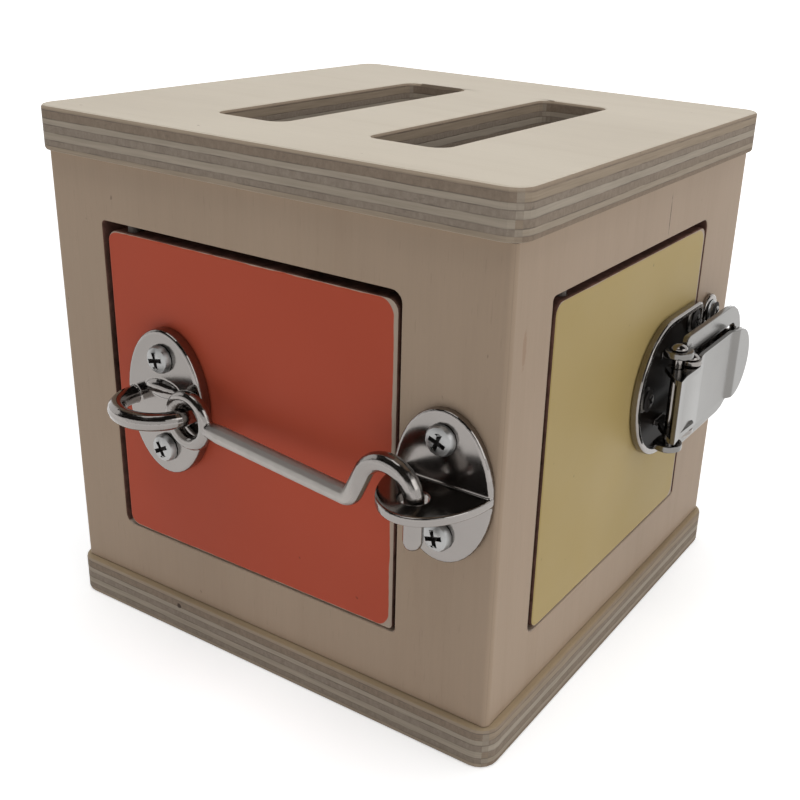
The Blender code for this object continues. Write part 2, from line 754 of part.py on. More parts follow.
def build_catch(frame, wall):
    """The catch: an oval plate on the frame with a half-oval shelf that the hook drops through."""
    oval = ring((0, 0), CATCH_WIDTH / 2, 44, CATCH_PLATE_HEIGHT / 2)
    seat = SEAT_GAP + CATCH_THICKNESS / 2
    plate = moved(slab([oval], CATCH_THICKNESS, edge=CATCH_ROUND), (0, 0, seat))
    start = math.degrees(math.asin(SHELF_ROOT / SHELF_REACH))
    lip = arc((0, 0), SHELF_WIDTH / 2, start, 180 - start, 28, SHELF_REACH)
    shelf = slab([lip], SHELF_THICKNESS, LEVEL, SHELF_ROUND, True)
    moved(shelf, (0, SHELF_RISE - SHELF_THICKNESS / 2, 0))
    mesh = combined(plate, [shelf])
    hole = rod(SHELF_HOLE_RADIUS, 2 * OVERRUN + SHELF_THICKNESS, LEVEL, 28)
    moved(hole, (SHELF_HOLE_SHIFT, SHELF_RISE - SHELF_THICKNESS / 2, SHELF_HOLE_OUT))
    mesh = combined(mesh, [hole], "DIFFERENCE")
    catch = piece("catch_plate", mesh, chrome, frame, (CATCH_X, CATCH_HEIGHT, 0))
    for end, turn in ((1, -20), (-1, 15)):
        name = "catch_plate_screw_" + ("top" if end > 0 else "bottom")
        spot = (CATCH_X, CATCH_HEIGHT + end * CATCH_SCREW_SPACING / 2, CATCH_THICKNESS + 2 * SEAT_GAP)
        fasten(name, "large", frame, spot, turn, [catch, wall])


# Draw latch


def rivet(length):
    """A pin with a domed head at each end, along y."""
    half = length / 2
    dome = arc((0, half), RIVET_HEAD_RADIUS, 90, 0, 4, RIVET_HEAD_HEIGHT)
    profile = [*dome, (RIVET_RADIUS, half), (RIVET_RADIUS, -half)]
    profile += [(x, -y) for x, y in reversed(dome)]
    return turned(profile, LEVEL)


def pin_hole(length):
    return rod(RIVET_RADIUS + FIT_GAP, length, LEVEL, 16)


def build_latch_base(door, pivot):
    """A D-shaped tray with a raised rim and two ears that carry the lever's pin."""
    centre = (TRAY_ROUND_X, 0)
    left = arc(centre, TRAY_RADIUS, 90, 270, 26)
    outline = left + [(TRAY_END_X, -TRAY_RADIUS), (TRAY_END_X, TRAY_RADIUS)]
    radii = [0] * len(left) + [TRAY_CORNER, TRAY_CORNER]
    inner_radius = TRAY_RADIUS - TRAY_RIM
    inner_left = arc(centre, inner_radius, 90, 270, 26)
    end = TRAY_END_X - TRAY_RIM
    pocket = inner_left + [(end, -inner_radius), (end, inner_radius)]
    inner_radii = [0] * len(left) + [TRAY_CORNER - TRAY_RIM] * 2
    tray = slab([rounded(outline, radii, steps=3)], TRAY_DEPTH, edge=TRAY_ROUND)
    moved(tray, (0, 0, SEAT_GAP + TRAY_DEPTH / 2))
    hollow = slab([rounded(pocket, inner_radii, steps=3)], OVERRUN)
    moved(hollow, (0, 0, SEAT_GAP + TRAY_FLOOR + OVERRUN / 2))
    mesh = combined(tray, [hollow], "DIFFERENCE")
    root = SEAT_GAP + TRAY_FLOOR / 2
    foot = LEVER_PIN_X - EAR_FOOT_LEAD
    heel = foot + EAR_FOOT_WIDTH
    ear = [(foot, root), (heel, root), (heel, EAR_SHOULDER)]
    ear += arc((LEVER_PIN_X, LEVER_PIN_OUT), EAR_RADIUS, -10, 190, 10)
    ear += [(foot, EAR_SHOULDER)]
    ears = []
    for end in (-1, 1):
        rise = end * (LEVER_NARROW / 2 + FIT_GAP + EAR_THICKNESS / 2)
        ears.append(moved(slab([ear], EAR_THICKNESS, LEVEL), (0, rise, 0)))
    mesh = combined(mesh, ears)
    hole = moved(pin_hole(2 * (LEVER_PIN_HALF + OVERRUN)), (LEVER_PIN_X, 0, LEVER_PIN_OUT))
    mesh = combined(mesh, [hole], "DIFFERENCE")
    base = piece("latch_base", mesh, chrome, pivot, (LATCH_X, LATCH_HEIGHT, 0))
    spot = (LATCH_X + LEVER_PIN_X, LATCH_HEIGHT, LEVER_PIN_OUT)
    piece("lever_pin", rivet(2 * LEVER_PIN_HALF), chrome, pivot, spot)
    left = TRAY_ROUND_X - TRAY_RADIUS + TRAY_SCREW_LEFT_INSET
    right = TRAY_END_X - TRAY_SCREW_RIGHT_INSET
    side = TRAY_RADIUS - TRAY_SCREW_SIDE_INSET
    for end_name, x, rise, turn in (
        ("left", left, 0, 50),
        ("top", right, side, 10),
        ("bottom", right, -side, 35),
    ):
        spot = (LATCH_X + x, LATCH_HEIGHT + rise, TRAY_FLOOR + 2 * SEAT_GAP)
        fasten("latch_base_screw_" + end_name, "small", pivot, spot, turn, [base, door])


def build_lever(pivot):
    """The lever: a folded channel at its heel, a wide plate, and a half-round finger tab."""
    tab_out = LEVER_PLATE_OUT + LEVER_TAB_RISE
    corners = [
        (LEVER_HEEL_X, LEVER_HEEL_OUT),
        (LEVER_STEP_X, LEVER_STEP_OUT),
        (LEVER_STEP_X + LEVER_TAB_RUN, LEVER_PLATE_OUT),
        (LEVER_PLATE_END_X, LEVER_PLATE_OUT),
        (LEVER_PLATE_END_X + LEVER_TAB_RUN, tab_out),
        (LEVER_TAB_END_X + OVERRUN, tab_out),
    ]
    path = rounded(corners, LEVER_BEND, closed=False, steps=3)
    sheet = slab([strip(path, LEVER_SHEET)], LEVER_WIDE + OVERRUN, LEVEL)
    narrow, wide = LEVER_NARROW / 2, LEVER_WIDE / 2
    step = (LEVER_STEP_X, narrow)
    tab = arc((LEVER_TAB_END_X - wide, 0), wide, -90, 90, 20)
    plan = [(LEVER_HEEL_X, narrow), (LEVER_HEEL_X, -narrow), (LEVER_STEP_X, -narrow)]
    plan += [(LEVER_STEP_X, -wide), *tab, (LEVER_STEP_X, wide), step]
    trim = moved(slab([plan], 4 * LEVER_PLATE_OUT), (0, 0, LEVER_PLATE_OUT))
    mesh = combined(sheet, [trim], "INTERSECT")
    cheek = hull(
        [
            (LEVER_PIN_X, LEVER_PIN_OUT, FLANGE_ROUND),
            (LINK_PIN_X, LINK_PIN_OUT, FLANGE_ROUND),
            (LEVER_HEEL_X + 2 * FLANGE_CORNER, LEVER_HEEL_OUT - FLANGE_CORNER, FLANGE_CORNER),
            (LEVER_STEP_X - 2 * FLANGE_CORNER, LEVER_STEP_OUT - FLANGE_CORNER, FLANGE_CORNER),
        ]
    )
    line = slab([cheek], FLANGE_THICKNESS, LEVEL)
    sides = []
    for end in (-1, 1):
        sides.append(moved(line.copy(), (0, end * (narrow - FLANGE_THICKNESS / 2), 0)))
    mesh = combined(mesh, sides)
    holes = []
    for x, out in ((LEVER_PIN_X, LEVER_PIN_OUT), (LINK_PIN_X, LINK_PIN_OUT)):
        holes.append(moved(pin_hole(LEVER_WIDE + OVERRUN), (x, 0, out)))
    mesh = combined(mesh, holes, "DIFFERENCE")
    spot = (LATCH_X + LEVER_PIN_X, LATCH_HEIGHT, LEVER_PIN_OUT)
    piece("latch_lever", about(mesh, (LEVER_PIN_X, 0, LEVER_PIN_OUT)), chrome, pivot, spot)


def build_link(pivot):
    """The link: a flat strap bent to a U, whose ends are turned to ears on the link pin."""
    outer, inner, neck = LINK_HALF, LINK_HALF - LINK_STRAP, LINK_EAR_INNER
    start, end, inner_end = LINK_ARM_START_X, LINK_END_X, LINK_END_X - LINK_STRAP
    half = [(inner_end, inner), (LINK_NECK_X, inner), (LINK_NECK_X, neck), (start, neck), (start, outer)]
    half += [(end, outer)]
    half_radii = [LINK_INNER_CORNER, LINK_SHEET / 2, LINK_SHEET / 2, 0, LINK_SHEET, LINK_OUTER_CORNER]
    corners = half + [(x, -y) for x, y in reversed(half)]
    outline = rounded(corners, half_radii + half_radii[::-1])
    mesh = moved(slab([outline], LINK_SHEET), (0, 0, LINK_PIN_OUT))
    tail = LINK_PIN_X + LINK_EAR_TAIL
    ear = hull(
        [
            (LINK_PIN_X, LINK_PIN_OUT, LINK_EAR_RADIUS),
            (tail, LINK_PIN_OUT, LINK_SHEET / 2),
        ]
    )
    ears, rise = [], LINK_EAR_INNER + LINK_EAR_THICKNESS / 2
    for side in (-1, 1):
        ears.append(moved(slab([ear], LINK_EAR_THICKNESS, LEVEL), (0, side * rise, 0)))
    mesh = combined(mesh, ears)
    hole = moved(pin_hole(2 * LINK_HALF), (LINK_PIN_X, 0, LINK_PIN_OUT))
    mesh = combined(mesh, [hole], "DIFFERENCE")
    origin = (LINK_PIN_X, 0, LINK_PIN_OUT)
    spot = (LATCH_X + LINK_PIN_X, LATCH_HEIGHT, LINK_PIN_OUT)
    piece("latch_link", about(mesh, origin), chrome, pivot, spot)
    half = LINK_EAR_INNER + LINK_EAR_THICKNESS + SEAT_GAP
    piece("link_pin", rivet(2 * half), chrome, pivot, spot)


def build_keeper(frame, wall):
    """The keeper on the frame: a plate with a hook that is open away from the latch."""
    half = KEEPER_SCREW_SPACING / 2
    lobes = [(KEEPER_X, half, KEEPER_LOBE_RADIUS), (KEEPER_X, -half, KEEPER_LOBE_RADIUS)]
    mesh = slab([hull(lobes)], KEEPER_THICKNESS, edge=SHELF_ROUND)
    moved(mesh, (0, 0, KEEPER_THICKNESS / 2 + SEAT_GAP))
    sheet = KEEPER_HOOK_SHEET
    wall_x = LINK_END_X - LINK_STRAP - 2 * FIT_GAP - sheet / 2
    lip_out = LINK_PIN_OUT + LINK_SHEET / 2 + FIT_GAP + sheet / 2
    corners = [(wall_x, KEEPER_ROOT), (wall_x, lip_out), (wall_x + KEEPER_LIP, lip_out)]
    path = rounded(corners, KEEPER_HOOK_BEND, closed=False)
    hook = slab([strip(path, sheet)], KEEPER_HOOK_WIDTH, LEVEL)
    mesh = combined(mesh, [hook])
    keeper = piece("latch_keeper", mesh, chrome, frame, (LATCH_X, LATCH_HEIGHT, 0))
    for end, turn in ((1, 25), (-1, 5)):
        name = "latch_keeper_screw_" + ("top" if end > 0 else "bottom")
        spot = (LATCH_X + KEEPER_X, LATCH_HEIGHT + end * half, KEEPER_THICKNESS + 2 * SEAT_GAP)
        fasten(name, "small", frame, spot, turn, [keeper, wall])


# Barrel bolt


def arch(length, left):
    """A half-round tunnel for the bolt, starting at left and running along x."""
    middle = BOLT_RADIUS + FIT_GAP + BARREL_WALL / 2
    path = [(middle, BOLT_PLATE_THICKNESS / 2 + SEAT_GAP)]
    path += arc((0, BARREL_AXIS_OUT), middle, 0, 180, 12)
    path += [(-middle, BOLT_PLATE_THICKNESS / 2 + SEAT_GAP)]
    return moved(slab([strip(path, BARREL_WALL)], length, ACROSS), (left + length / 2, 0, 0))


def bolt_stop_x():
    """Where the bolt's front end rests when the bolt is drawn back."""
    return DOOR_RIGHT - BOLT_END_GAP


def knob_x():
    return bolt_stop_x() - KNOB_BACK


def build_bolt_plate(door, pivot):
    """The bolt's plate on the door, with a slotted barrel."""
    middle = BOLT_PLATE_X + BOLT_PLATE_LENGTH / 2
    outline = rectangle((middle, 0), BOLT_PLATE_LENGTH, BOLT_PLATE_WIDTH, BOLT_PLATE_CORNER)
    plate = moved(slab([outline], BOLT_PLATE_THICKNESS), (0, 0, SEAT_GAP + BOLT_PLATE_THICKNESS / 2))
    barrel_left = BOLT_PLATE_X + BOLT_PLATE_LENGTH - BARREL_INSET - BARREL_LENGTH
    mesh = combined(plate, [arch(BARREL_LENGTH, barrel_left)])
    slot_length = BOLT_THROW + 2 * (KNOB_STEM_RADIUS + FIT_GAP)
    slot_width = 2 * (KNOB_STEM_RADIUS + FIT_GAP)
    slot_x = knob_x() + BOLT_THROW / 2
    slot = slab([rectangle((slot_x, 0), slot_length, slot_width)], BARREL_AXIS_OUT)
    moved(slot, (0, 0, BARREL_AXIS_OUT + BARREL_AXIS_OUT / 2))
    mesh = combined(mesh, [slot], "DIFFERENCE")
    plate = piece("bolt_plate", mesh, chrome, pivot, (0, BOLT_HEIGHT, 0))
    rise = BOLT_PLATE_WIDTH / 2 - BOLT_SCREW_MARGIN
    left = BOLT_PLATE_X + BOLT_SCREW_MARGIN
    right = BOLT_PLATE_X + BOLT_PLATE_LENGTH - BOLT_SCREW_MARGIN
    for place_name, x in (("left", left), ("right", right)):
        for end, turn in ((1, 20), (-1, 50)):
            name = f"bolt_plate_screw_{place_name}_" + ("top" if end > 0 else "bottom")
            spot = (x, BOLT_HEIGHT + end * rise, BOLT_PLATE_THICKNESS + 2 * SEAT_GAP)
            fasten(name, "small", pivot, spot, turn, [plate, door])


def build_bolt(pivot):
    """The sliding bolt with its knob, drawn back clear of the frame."""
    half = BOLT_LENGTH / 2
    profile = [
        (0, half),
        (BOLT_RADIUS - BOLT_END_ROUND, half),
        (BOLT_RADIUS, half - BOLT_END_ROUND),
        (BOLT_RADIUS, -half),
        (0, -half),
    ]
    shaft = turned(profile, Matrix.Rotation(math.pi / 2, 4, "Y"), 20)
    ball = [(0, KNOB_STANDOFF + KNOB_RADIUS)]
    ball += arc((0, KNOB_STANDOFF), KNOB_RADIUS, 75, -55, 7)
    stem_x = knob_x() - (bolt_stop_x() - half)
    stem = [(KNOB_STEM_RADIUS, KNOB_STANDOFF - KNOB_RADIUS), (KNOB_STEM_RADIUS, 0), (0, 0)]
    mesh = combined(shaft, [moved(turned([*ball, *stem]), (stem_x, 0, 0))])
    spot = (bolt_stop_x() - half, BOLT_HEIGHT, BARREL_AXIS_OUT)
    piece("bolt", mesh, chrome, pivot, spot)


def build_bolt_keeper(frame, wall):
    """The keeper on the frame: a small plate with a tunnel for the bolt's end."""
    outline = rectangle((LOOP_X, 0), LOOP_PLATE_LENGTH, LOOP_PLATE_WIDTH, BOLT_PLATE_CORNER)
    plate = moved(slab([outline], BOLT_PLATE_THICKNESS), (0, 0, SEAT_GAP + BOLT_PLATE_THICKNESS / 2))
    mesh = combined(plate, [arch(LOOP_LENGTH, LOOP_X - LOOP_LENGTH / 2)])
    keeper = piece("bolt_keeper", mesh, chrome, frame, (0, BOLT_HEIGHT, 0))
    rise = LOOP_PLATE_WIDTH / 2 - BOLT_SCREW_MARGIN
    for end, turn in ((1, 40), (-1, 5)):
        name = "bolt_keeper_screw_" + ("top" if end > 0 else "bottom")
        spot = (LOOP_X, BOLT_HEIGHT + end * rise, BOLT_PLATE_THICKNESS + 2 * SEAT_GAP)
        fasten(name, "small", frame, spot, turn, [keeper, wall])


# Turn button


def build_turn_button(frame, wall):
    """A round plate on the frame with a button that turns on a rivet, hanging clear of the door."""
    thickness, centre = BUTTON_PLATE_THICKNESS, BUTTON_SPOT
    plate = slab([ring((0, 0), BUTTON_PLATE_RADIUS)], thickness, edge=BUTTON_ROUND)
    moved(plate, (0, 0, SEAT_GAP + thickness / 2))
    boss_top = SEAT_GAP + thickness + BUTTON_BOSS_HEIGHT
    boss_foot = SEAT_GAP + thickness / 2
    boss = rod(BUTTON_BOSS_RADIUS, boss_top - boss_foot, steps=28)
    mesh = combined(plate, [moved(boss, (0, 0, (boss_top + boss_foot) / 2))])
    escutcheon = piece("button_plate", mesh, chrome, frame, (*centre, 0))
    for end, turn in ((1, 30), (-1, 0)):
        name = "button_plate_screw_" + ("top" if end > 0 else "bottom")
        spot = (centre[0], centre[1] + end * BUTTON_SCREW_SPACING / 2, thickness + 2 * SEAT_GAP)
        fasten(name, "small", frame, spot, turn, [escutcheon, wall])
    under = boss_top + FIT_GAP
    outline = hull(
        [
            (0, 0, BUTTON_HUB_RADIUS),
            (0, -BUTTON_ARM, BUTTON_ARM_RADIUS),
            (0, BUTTON_TAIL, BUTTON_TAIL_RADIUS),
        ]
    )
    foot_top = under + BUTTON_THICKNESS / 2
    arm = moved(slab([outline], BUTTON_THICKNESS, edge=BUTTON_ROUND), (0, 0, foot_top))
    foot = rod(BUTTON_ARM_RADIUS - BUTTON_ROUND, foot_top - BUTTON_FOOT_CLEARANCE)
    moved(foot, (0, -BUTTON_ARM, (foot_top + BUTTON_FOOT_CLEARANCE) / 2))
    mesh = combined(arm, [foot])
    bore = moved(rod(BUTTON_RIVET_RADIUS + FIT_GAP, 2 * under + OVERRUN, steps=20), (0, 0, under))
    mesh = combined(mesh, [bore], "DIFFERENCE")
    piece("turn_button", mesh, chrome, frame, (*centre, 0))
    top = under + BUTTON_THICKNESS + FIT_GAP
    dome = arc((0, top), BUTTON_RIVET_HEAD_RADIUS, 90, 0, 4, BUTTON_RIVET_HEAD_HEIGHT)
    shank = [(BUTTON_RIVET_RADIUS, top), (BUTTON_RIVET_RADIUS, -BUTTON_RIVET_SHANK)]
    mesh = turned([*dome, *shank, (0, -BUTTON_RIVET_SHANK)], steps=20)
    piece("button_rivet", mesh, chrome, frame, (*centre, 0))
    length = top + BUTTON_RIVET_SHANK + FIT_GAP
    hole = rod(BUTTON_RIVET_RADIUS + FIT_GAP, length, steps=20)
    drill("button_rivet_hole", hole, frame, (*centre, top - length / 2), [escutcheon, wall])


clear_scene()
parts = new_collection("wooden_latch_box")
cutters = new_collection("cutters")
wood = new_material("birch_plywood", (0.60, 0.49, 0.37), 0.55, 0)
chrome = new_material("nickel_plate", (0.62, 0.60, 0.57), 0.16, 1)
steel = new_material("zinc_plated_steel", (0.60, 0.61, 0.63), 0.3, 1)
screws = {
    "large": (
        screw_mesh(LARGE_HEAD_RADIUS, LARGE_HEAD_HEIGHT, LARGE_SHANK_RADIUS, LARGE_SHANK_LENGTH),
        LARGE_SHANK_RADIUS,
        LARGE_SHANK_LENGTH,
    ),
    "small": (
        screw_mesh(SMALL_HEAD_RADIUS, SMALL_HEAD_HEIGHT, SMALL_SHANK_RADIUS, SMALL_SHANK_LENGTH),
        SMALL_SHANK_RADIUS,
        SMALL_SHANK_LENGTH,
    ),
}
build_plates()
frames, walls, doors, pivots = {}, {}, {}, {}
for side, degrees in SIDES.items():
    turn = math.radians(degrees)
    spot = Matrix.Rotation(turn, 3, "Z") @ Vector((0, -BODY_SIDE / 2, 0))
    frames[side] = empty(side + "_side", None, spot)
    frames[side].rotation_euler = (math.pi / 2, 0, turn)
    walls[side] = build_wall(side, frames[side])
    doors[side], pivots[side] = build_door(side, frames[side], walls[side])
build_eye_plate(doors["front"], pivots["front"])
build_hook(pivots["front"])
build_catch(frames["front"], walls["front"])
build_latch_base(doors["right"], pivots["right"])
build_lever(pivots["right"])
build_link(pivots["right"])
build_keeper(frames["right"], walls["right"])
build_bolt_plate(doors["left"], pivots["left"])
build_bolt(pivots["left"])
build_bolt_keeper(frames["left"], walls["left"])
build_turn_button(frames["back"], walls["back"])
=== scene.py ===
"""The dressed latch box: materials, finer metalwork, camera, floor and light.

Metres, +Z up. The box stands on the floor with its front towards -Y and its right side
towards +X. The plywood and the pivot pins stay as in model.glb, with new materials. The rest
of the metal is rebuilt from its solids with eased edges.
"""

import json
import math

import bmesh
import bpy
from mathutils import Matrix, Vector

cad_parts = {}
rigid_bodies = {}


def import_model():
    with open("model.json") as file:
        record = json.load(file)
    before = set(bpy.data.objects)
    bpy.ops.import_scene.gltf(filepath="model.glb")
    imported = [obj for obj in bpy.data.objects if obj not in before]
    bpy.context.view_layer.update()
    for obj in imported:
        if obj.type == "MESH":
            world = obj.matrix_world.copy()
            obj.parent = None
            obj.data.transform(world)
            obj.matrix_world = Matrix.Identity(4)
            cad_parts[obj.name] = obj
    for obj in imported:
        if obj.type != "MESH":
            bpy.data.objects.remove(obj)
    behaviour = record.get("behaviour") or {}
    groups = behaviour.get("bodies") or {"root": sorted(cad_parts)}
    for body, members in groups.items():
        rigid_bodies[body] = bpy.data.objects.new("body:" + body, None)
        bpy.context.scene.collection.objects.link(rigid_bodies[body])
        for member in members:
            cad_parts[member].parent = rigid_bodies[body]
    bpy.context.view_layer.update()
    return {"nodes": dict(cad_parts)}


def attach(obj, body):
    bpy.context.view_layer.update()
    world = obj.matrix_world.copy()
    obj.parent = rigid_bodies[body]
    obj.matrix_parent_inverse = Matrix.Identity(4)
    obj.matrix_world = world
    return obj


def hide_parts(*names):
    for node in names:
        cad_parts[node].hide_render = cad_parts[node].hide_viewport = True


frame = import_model()
nodes = frame["nodes"]

# Sizes that the source of the solids states too
HALF_BODY = 0.073
PLATE = 0.012
WALL = 0.009
TOP = 0.150
GLUE_GAP = 0.0002
WALL_CORNER = 0.0015
DOOR_LEFT, DOOR_RIGHT = -0.0520, 0.0434
DOOR_BOTTOM, DOOR_TOP = 0.0299, 0.1195

# The draw latch, as in the source too, with the ears of its link widened, and the heel of
# its lever set back along Y to where the photo shows its end
LATCH_HEIGHT = 0.0762
LINK_PIN_Y = 0.0120
LINK_PIN_OUT = 0.0076
EAR_INNER = 0.0134
EAR_SHEET = 0.0018
EAR_BORE = 0.0020
EAR_REACH = 0.0043
EAR_CUT = 0.0037
EAR_FACETS = 48
HEEL_START = 0.0026

# Castings and folded sheets
WELD = 0.000001
FLAT_ANGLE = math.radians(0.3)
SHARP_EDGE = math.radians(32)
FINE_VOXEL, PLAIN_VOXEL = 0.0002, 0.00026
SMOOTH_FACTOR, SMOOTH_ROUNDS = 0.5, 2
KEPT_FACES = 0.25
KEPT_ON_PLATES = 0.9
SHEET_ROUND = 0.00014
ROUNDED_EDGE = math.radians(50)

# Screw heads: reach from the axis, depth from the crown
HEAD_DOME = 0.0007
HEAD_FLAT_SHARE = 0.8
CROSS_REACH = 0.0022
CROSS_RIM = 0.00012
CROSS_DEPTH = 0.0020
CROSS_WIDENED = 1.35

# Camera
CAMERA_SPOT = (0.1812, -0.2716, 0.1982)
CAMERA_RIGHT = Vector((0.8466, 0.5304, 0.0442))
CAMERA_BACK = Vector((0.4728, -0.7876, 0.3952))
CAMERA_LENS = 50.05
CAMERA_SENSOR = 36
CAMERA_SHIFT = (-0.0801, 0.0059)
CAMERA_CLIP = (0.01, 100)

# Floor, whose glow for the eye grows with the distance from the box
FLOOR_HALF = 8
FLOOR_CLOUD = (5, 2)
FLOOR_TONES = (0.80, 0.81)
FLOOR_GLOW, FAR_FLOOR_GLOW = 0.52, 0.95
FLOOR_NEAR, FLOOR_FAR = 0.35, 1.0

# Light: place, aim, size, power, and whether polished metal mirrors the lamp
WORLD_STRENGTH = 0.25
LAMPS = {
    "key": ((0.12, 0.02, 1.4), (0, 0, 0.1), (1.0, 1.0), 10.8, False),
    "sparkle": ((-0.2, -0.3, 1.5), (0, 0, 0.1), (0.7, 0.7), 2.6, True),
    "side": ((1.2, 0.0, 0.7), (0, 0, 0.08), (0.6, 0.8), 1.9, True),
}

# Dark cards that polished metal mirrors, one upright in front and one overhead
CARD_LEFT, CARD_RIGHT = -3.5, 2.5
CARD_FRONT, CARD_BACK = -1.6, 2.5
CARD_LOW, CARD_HIGH = 0.7, 2.6
CARD_CLOUD = (1.5, 2)
CARD_TONES = ((0.02, 0.016, 0.013), (0.05, 0.042, 0.036))

# Each side of the box: paint of its door, outward direction, direction to the right
SIDES = {
    "front": ("red", (0, -1, 0), (1, 0, 0)),
    "right": ("yellow", (1, 0, 0), (0, 1, 0)),
    "back": ("green", (0, 1, 0), (-1, 0, 0)),
    "left": ("blue", (-1, 0, 0), (0, -1, 0)),
}
PAINTS = {
    "red": (0.585, 0.100, 0.051),
    "yellow": (0.552, 0.410, 0.165),
    "green": (0.16, 0.32, 0.13),
    "blue": (0.06, 0.19, 0.40),
}

# A noise is its fineness, detail and roughness. A grain noise has two finenesses, along the
# grain and across it. What a noise paints goes from one tone to the other between these.
NOISE_LIMITS = (0.3, 0.7)

# Birch faces
GRAIN_UP = (False, False, True)
GRAIN_X = (True, False, False)
BIRCH_TONE = (12, 30, 3, 0.5)
BIRCH_STREAK = (11, 190, 4, 0.6)
BIRCH_FIBRE = (75, 1500, 2, 0.5)
BIRCH_PORE = (170, 2100, 1, 0.5)
BIRCH_SPECK = (260, 420, 1, 0.5)
PORE_LIMITS, PORE_SHARE = (0.69, 0.76), 0.10
SPECK_LIMITS, SPECK_SHARE = (0.80, 0.83), 0.5
PORE_COLOUR = (0.16, 0.11, 0.07)
BIRCH_TONES = [(0.3, (0.955, 0.95, 0.945)), (0.5, 1.0), (0.72, (1.035, 1.04, 1.045))]
BIRCH_TINTS = [(0.3, (0.975, 0.965, 0.955)), (0.5, 1.0), (0.7, (1.015, 1.012, 1.01))]
BIRCH_LINES = (0.986, 1.01)
WALL_COLOUR = (0.505, 0.376, 0.270)
TOP_COLOUR = (0.585, 0.520, 0.425)
# The base's birch faces: the top's tone darkened as painted shade, dimming the lit ledge in front
# of the walls
SHADED_BASE_COLOUR = (0.40, 0.305, 0.195)
BARE_COLOUR = (0.55, 0.44, 0.35)
WOOD_SHEEN = 0.25
WOOD_RELIEF, RELIEF_STRENGTH = 0.00009, 0.5

# Cut edges. The plies end at these shares of the plate's thickness, from its top.
PLY_ENDS_SHARE = (0.0, 0.095, 0.28, 0.41, 0.575, 0.745, 0.875, 1.0)
PLY_SHAKE, SHAKE_SHARE = (400, 90, 3, 0.6), 0.022
PLY_WAVE, WAVE_SHARE = (30, 16, 1, 0.5), 0.03
LONG_GRAIN = (1500, 60, 3, 0.6)
END_GRAIN = (700, 1100, 3, 0.6)
PLY_HOLE, HOLE_LIMITS, HOLE_SHARE = (1300, 420, 2, 0.5), (0.66, 0.74), 0.35
PALE_PLY = ((0.42, 0.355, 0.28), (0.53, 0.45, 0.36))
GREY_PLY = ((0.30, 0.243, 0.192), (0.385, 0.315, 0.25))
PLY_TONE, PLY_TONE_ROW = (1.7, 0), 0.3
PLY_TINTS = [(0.35, (0.92, 0.86, 0.80)), (0.65, (1.04, 1.05, 1.06))]
FIRST_PLY, FIRST_PLY_SHARE = (0.42, 0.33, 0.245), 0.55
FIRST_PLY_LIMITS = (0.4, 0.6)
GLUE, GLUE_SHARE = (0.19, 0.155, 0.125), 0.85
GLUE_PATCH, GLUE_PATCH_LIMITS = (500, 150, 2, 0.5), (0.25, 0.65)
GLUE_RIM = (0.02, 0.12)
SOOT, SOOT_BAND = (260, 4, 0.6), (30, 2)
SINGED_TONES = [(0.35, (0.055, 0.028, 0.019)), (0.66, (0.25, 0.125, 0.095))]
# Below this the cut edges are pale: unbrowned, and lightened as painted light over the shade in the
# gap under each door
PALE_SILL_LIMITS = (DOOR_BOTTOM + 0.0001, DOOR_BOTTOM + 0.0005)

# Where a surface turns from an edge to a face, as the size of its normal's outward part,
# and where a plate's edge turns from one side to the next
PLATE_FACE_LIMITS = (0.60, 0.72)
PLATE_SIDE_LIMITS = (-0.3, 0.3)
WALL_FACE_LIMITS = (0.45, 0.60)
PAINT_LIMITS = (0.80, 0.88)

# Roughness of edge and face
PLATE_ROUGH = (0.78, 0.55)
WALL_ROUGH = (0.80, 0.52)
DOOR_ROUGH = (0.80, 0.55)

# Paint
FIELD = ((DOOR_LEFT - 0.0004, DOOR_RIGHT - 0.0012), (DOOR_BOTTOM + 0.0003, DOOR_TOP - 0.0003))
FIELD_CORNER = 0.0042
FIELD_RIM = 0.0001
FIELD_WANDER, WANDER_NOISE = 0.0009, (130, 2)
PAINT_SHEEN = 0.12
PAINT_CLOUD, PAINT_TONES = (16, 2), (0.965, 1.03)
PAINT_GLOSS, PAINT_ROUGH = (45, 3), (0.38, 0.48)
PAINT_GRIT, PAINT_HEIGHT, GRIT_HEIGHT = (900, 3), 0.6, 0.3
PAINT_DOT, DOT_LIMITS, DOT_SHARE, DOT_SHADE = (330, 1), (0.78, 0.81), 0.5, 0.35

# Marks, each as (centre, radii, share, colour)
DARK_MARK = (0.07, 0.045, 0.035)
RUSTY_MARK = (0.34, 0.17, 0.09)
WALL_MARKS = {
    "right": (
        ((0.073, 0.0130, 0.1282), (1, 0.00026, 0.0058), 0.8, DARK_MARK),
        ((0.073, -0.0665, 0.1125), (1, 0.0009, 0.0050), 0.35, RUSTY_MARK),
    ),
}
BASE_MARKS = (((-0.0321, -0.075, 0.009), (0.00085, 1, 0.00085), 0.95, DARK_MARK),)
MARK_NOISE = (900, 2)
MARK_LIMITS = (0.7, 1.1)

# Metal
NICKEL = (0.29, 0.27, 0.255)
RUBBED_NICKEL = (0.43, 0.405, 0.38)
LEVER_NICKEL = (0.215, 0.208, 0.198)
ZINC = (0.40, 0.40, 0.395)
# Zinc darkened as painted shade, for the screws down in the tray
SHADED_ZINC = (0.13, 0.12, 0.11)
PIN_STEEL = (0.22, 0.185, 0.16)
# Near-black painted shade for the recess of a screw's cross
CROSS_PAINTED_SHADE = (0.035, 0.03, 0.028)
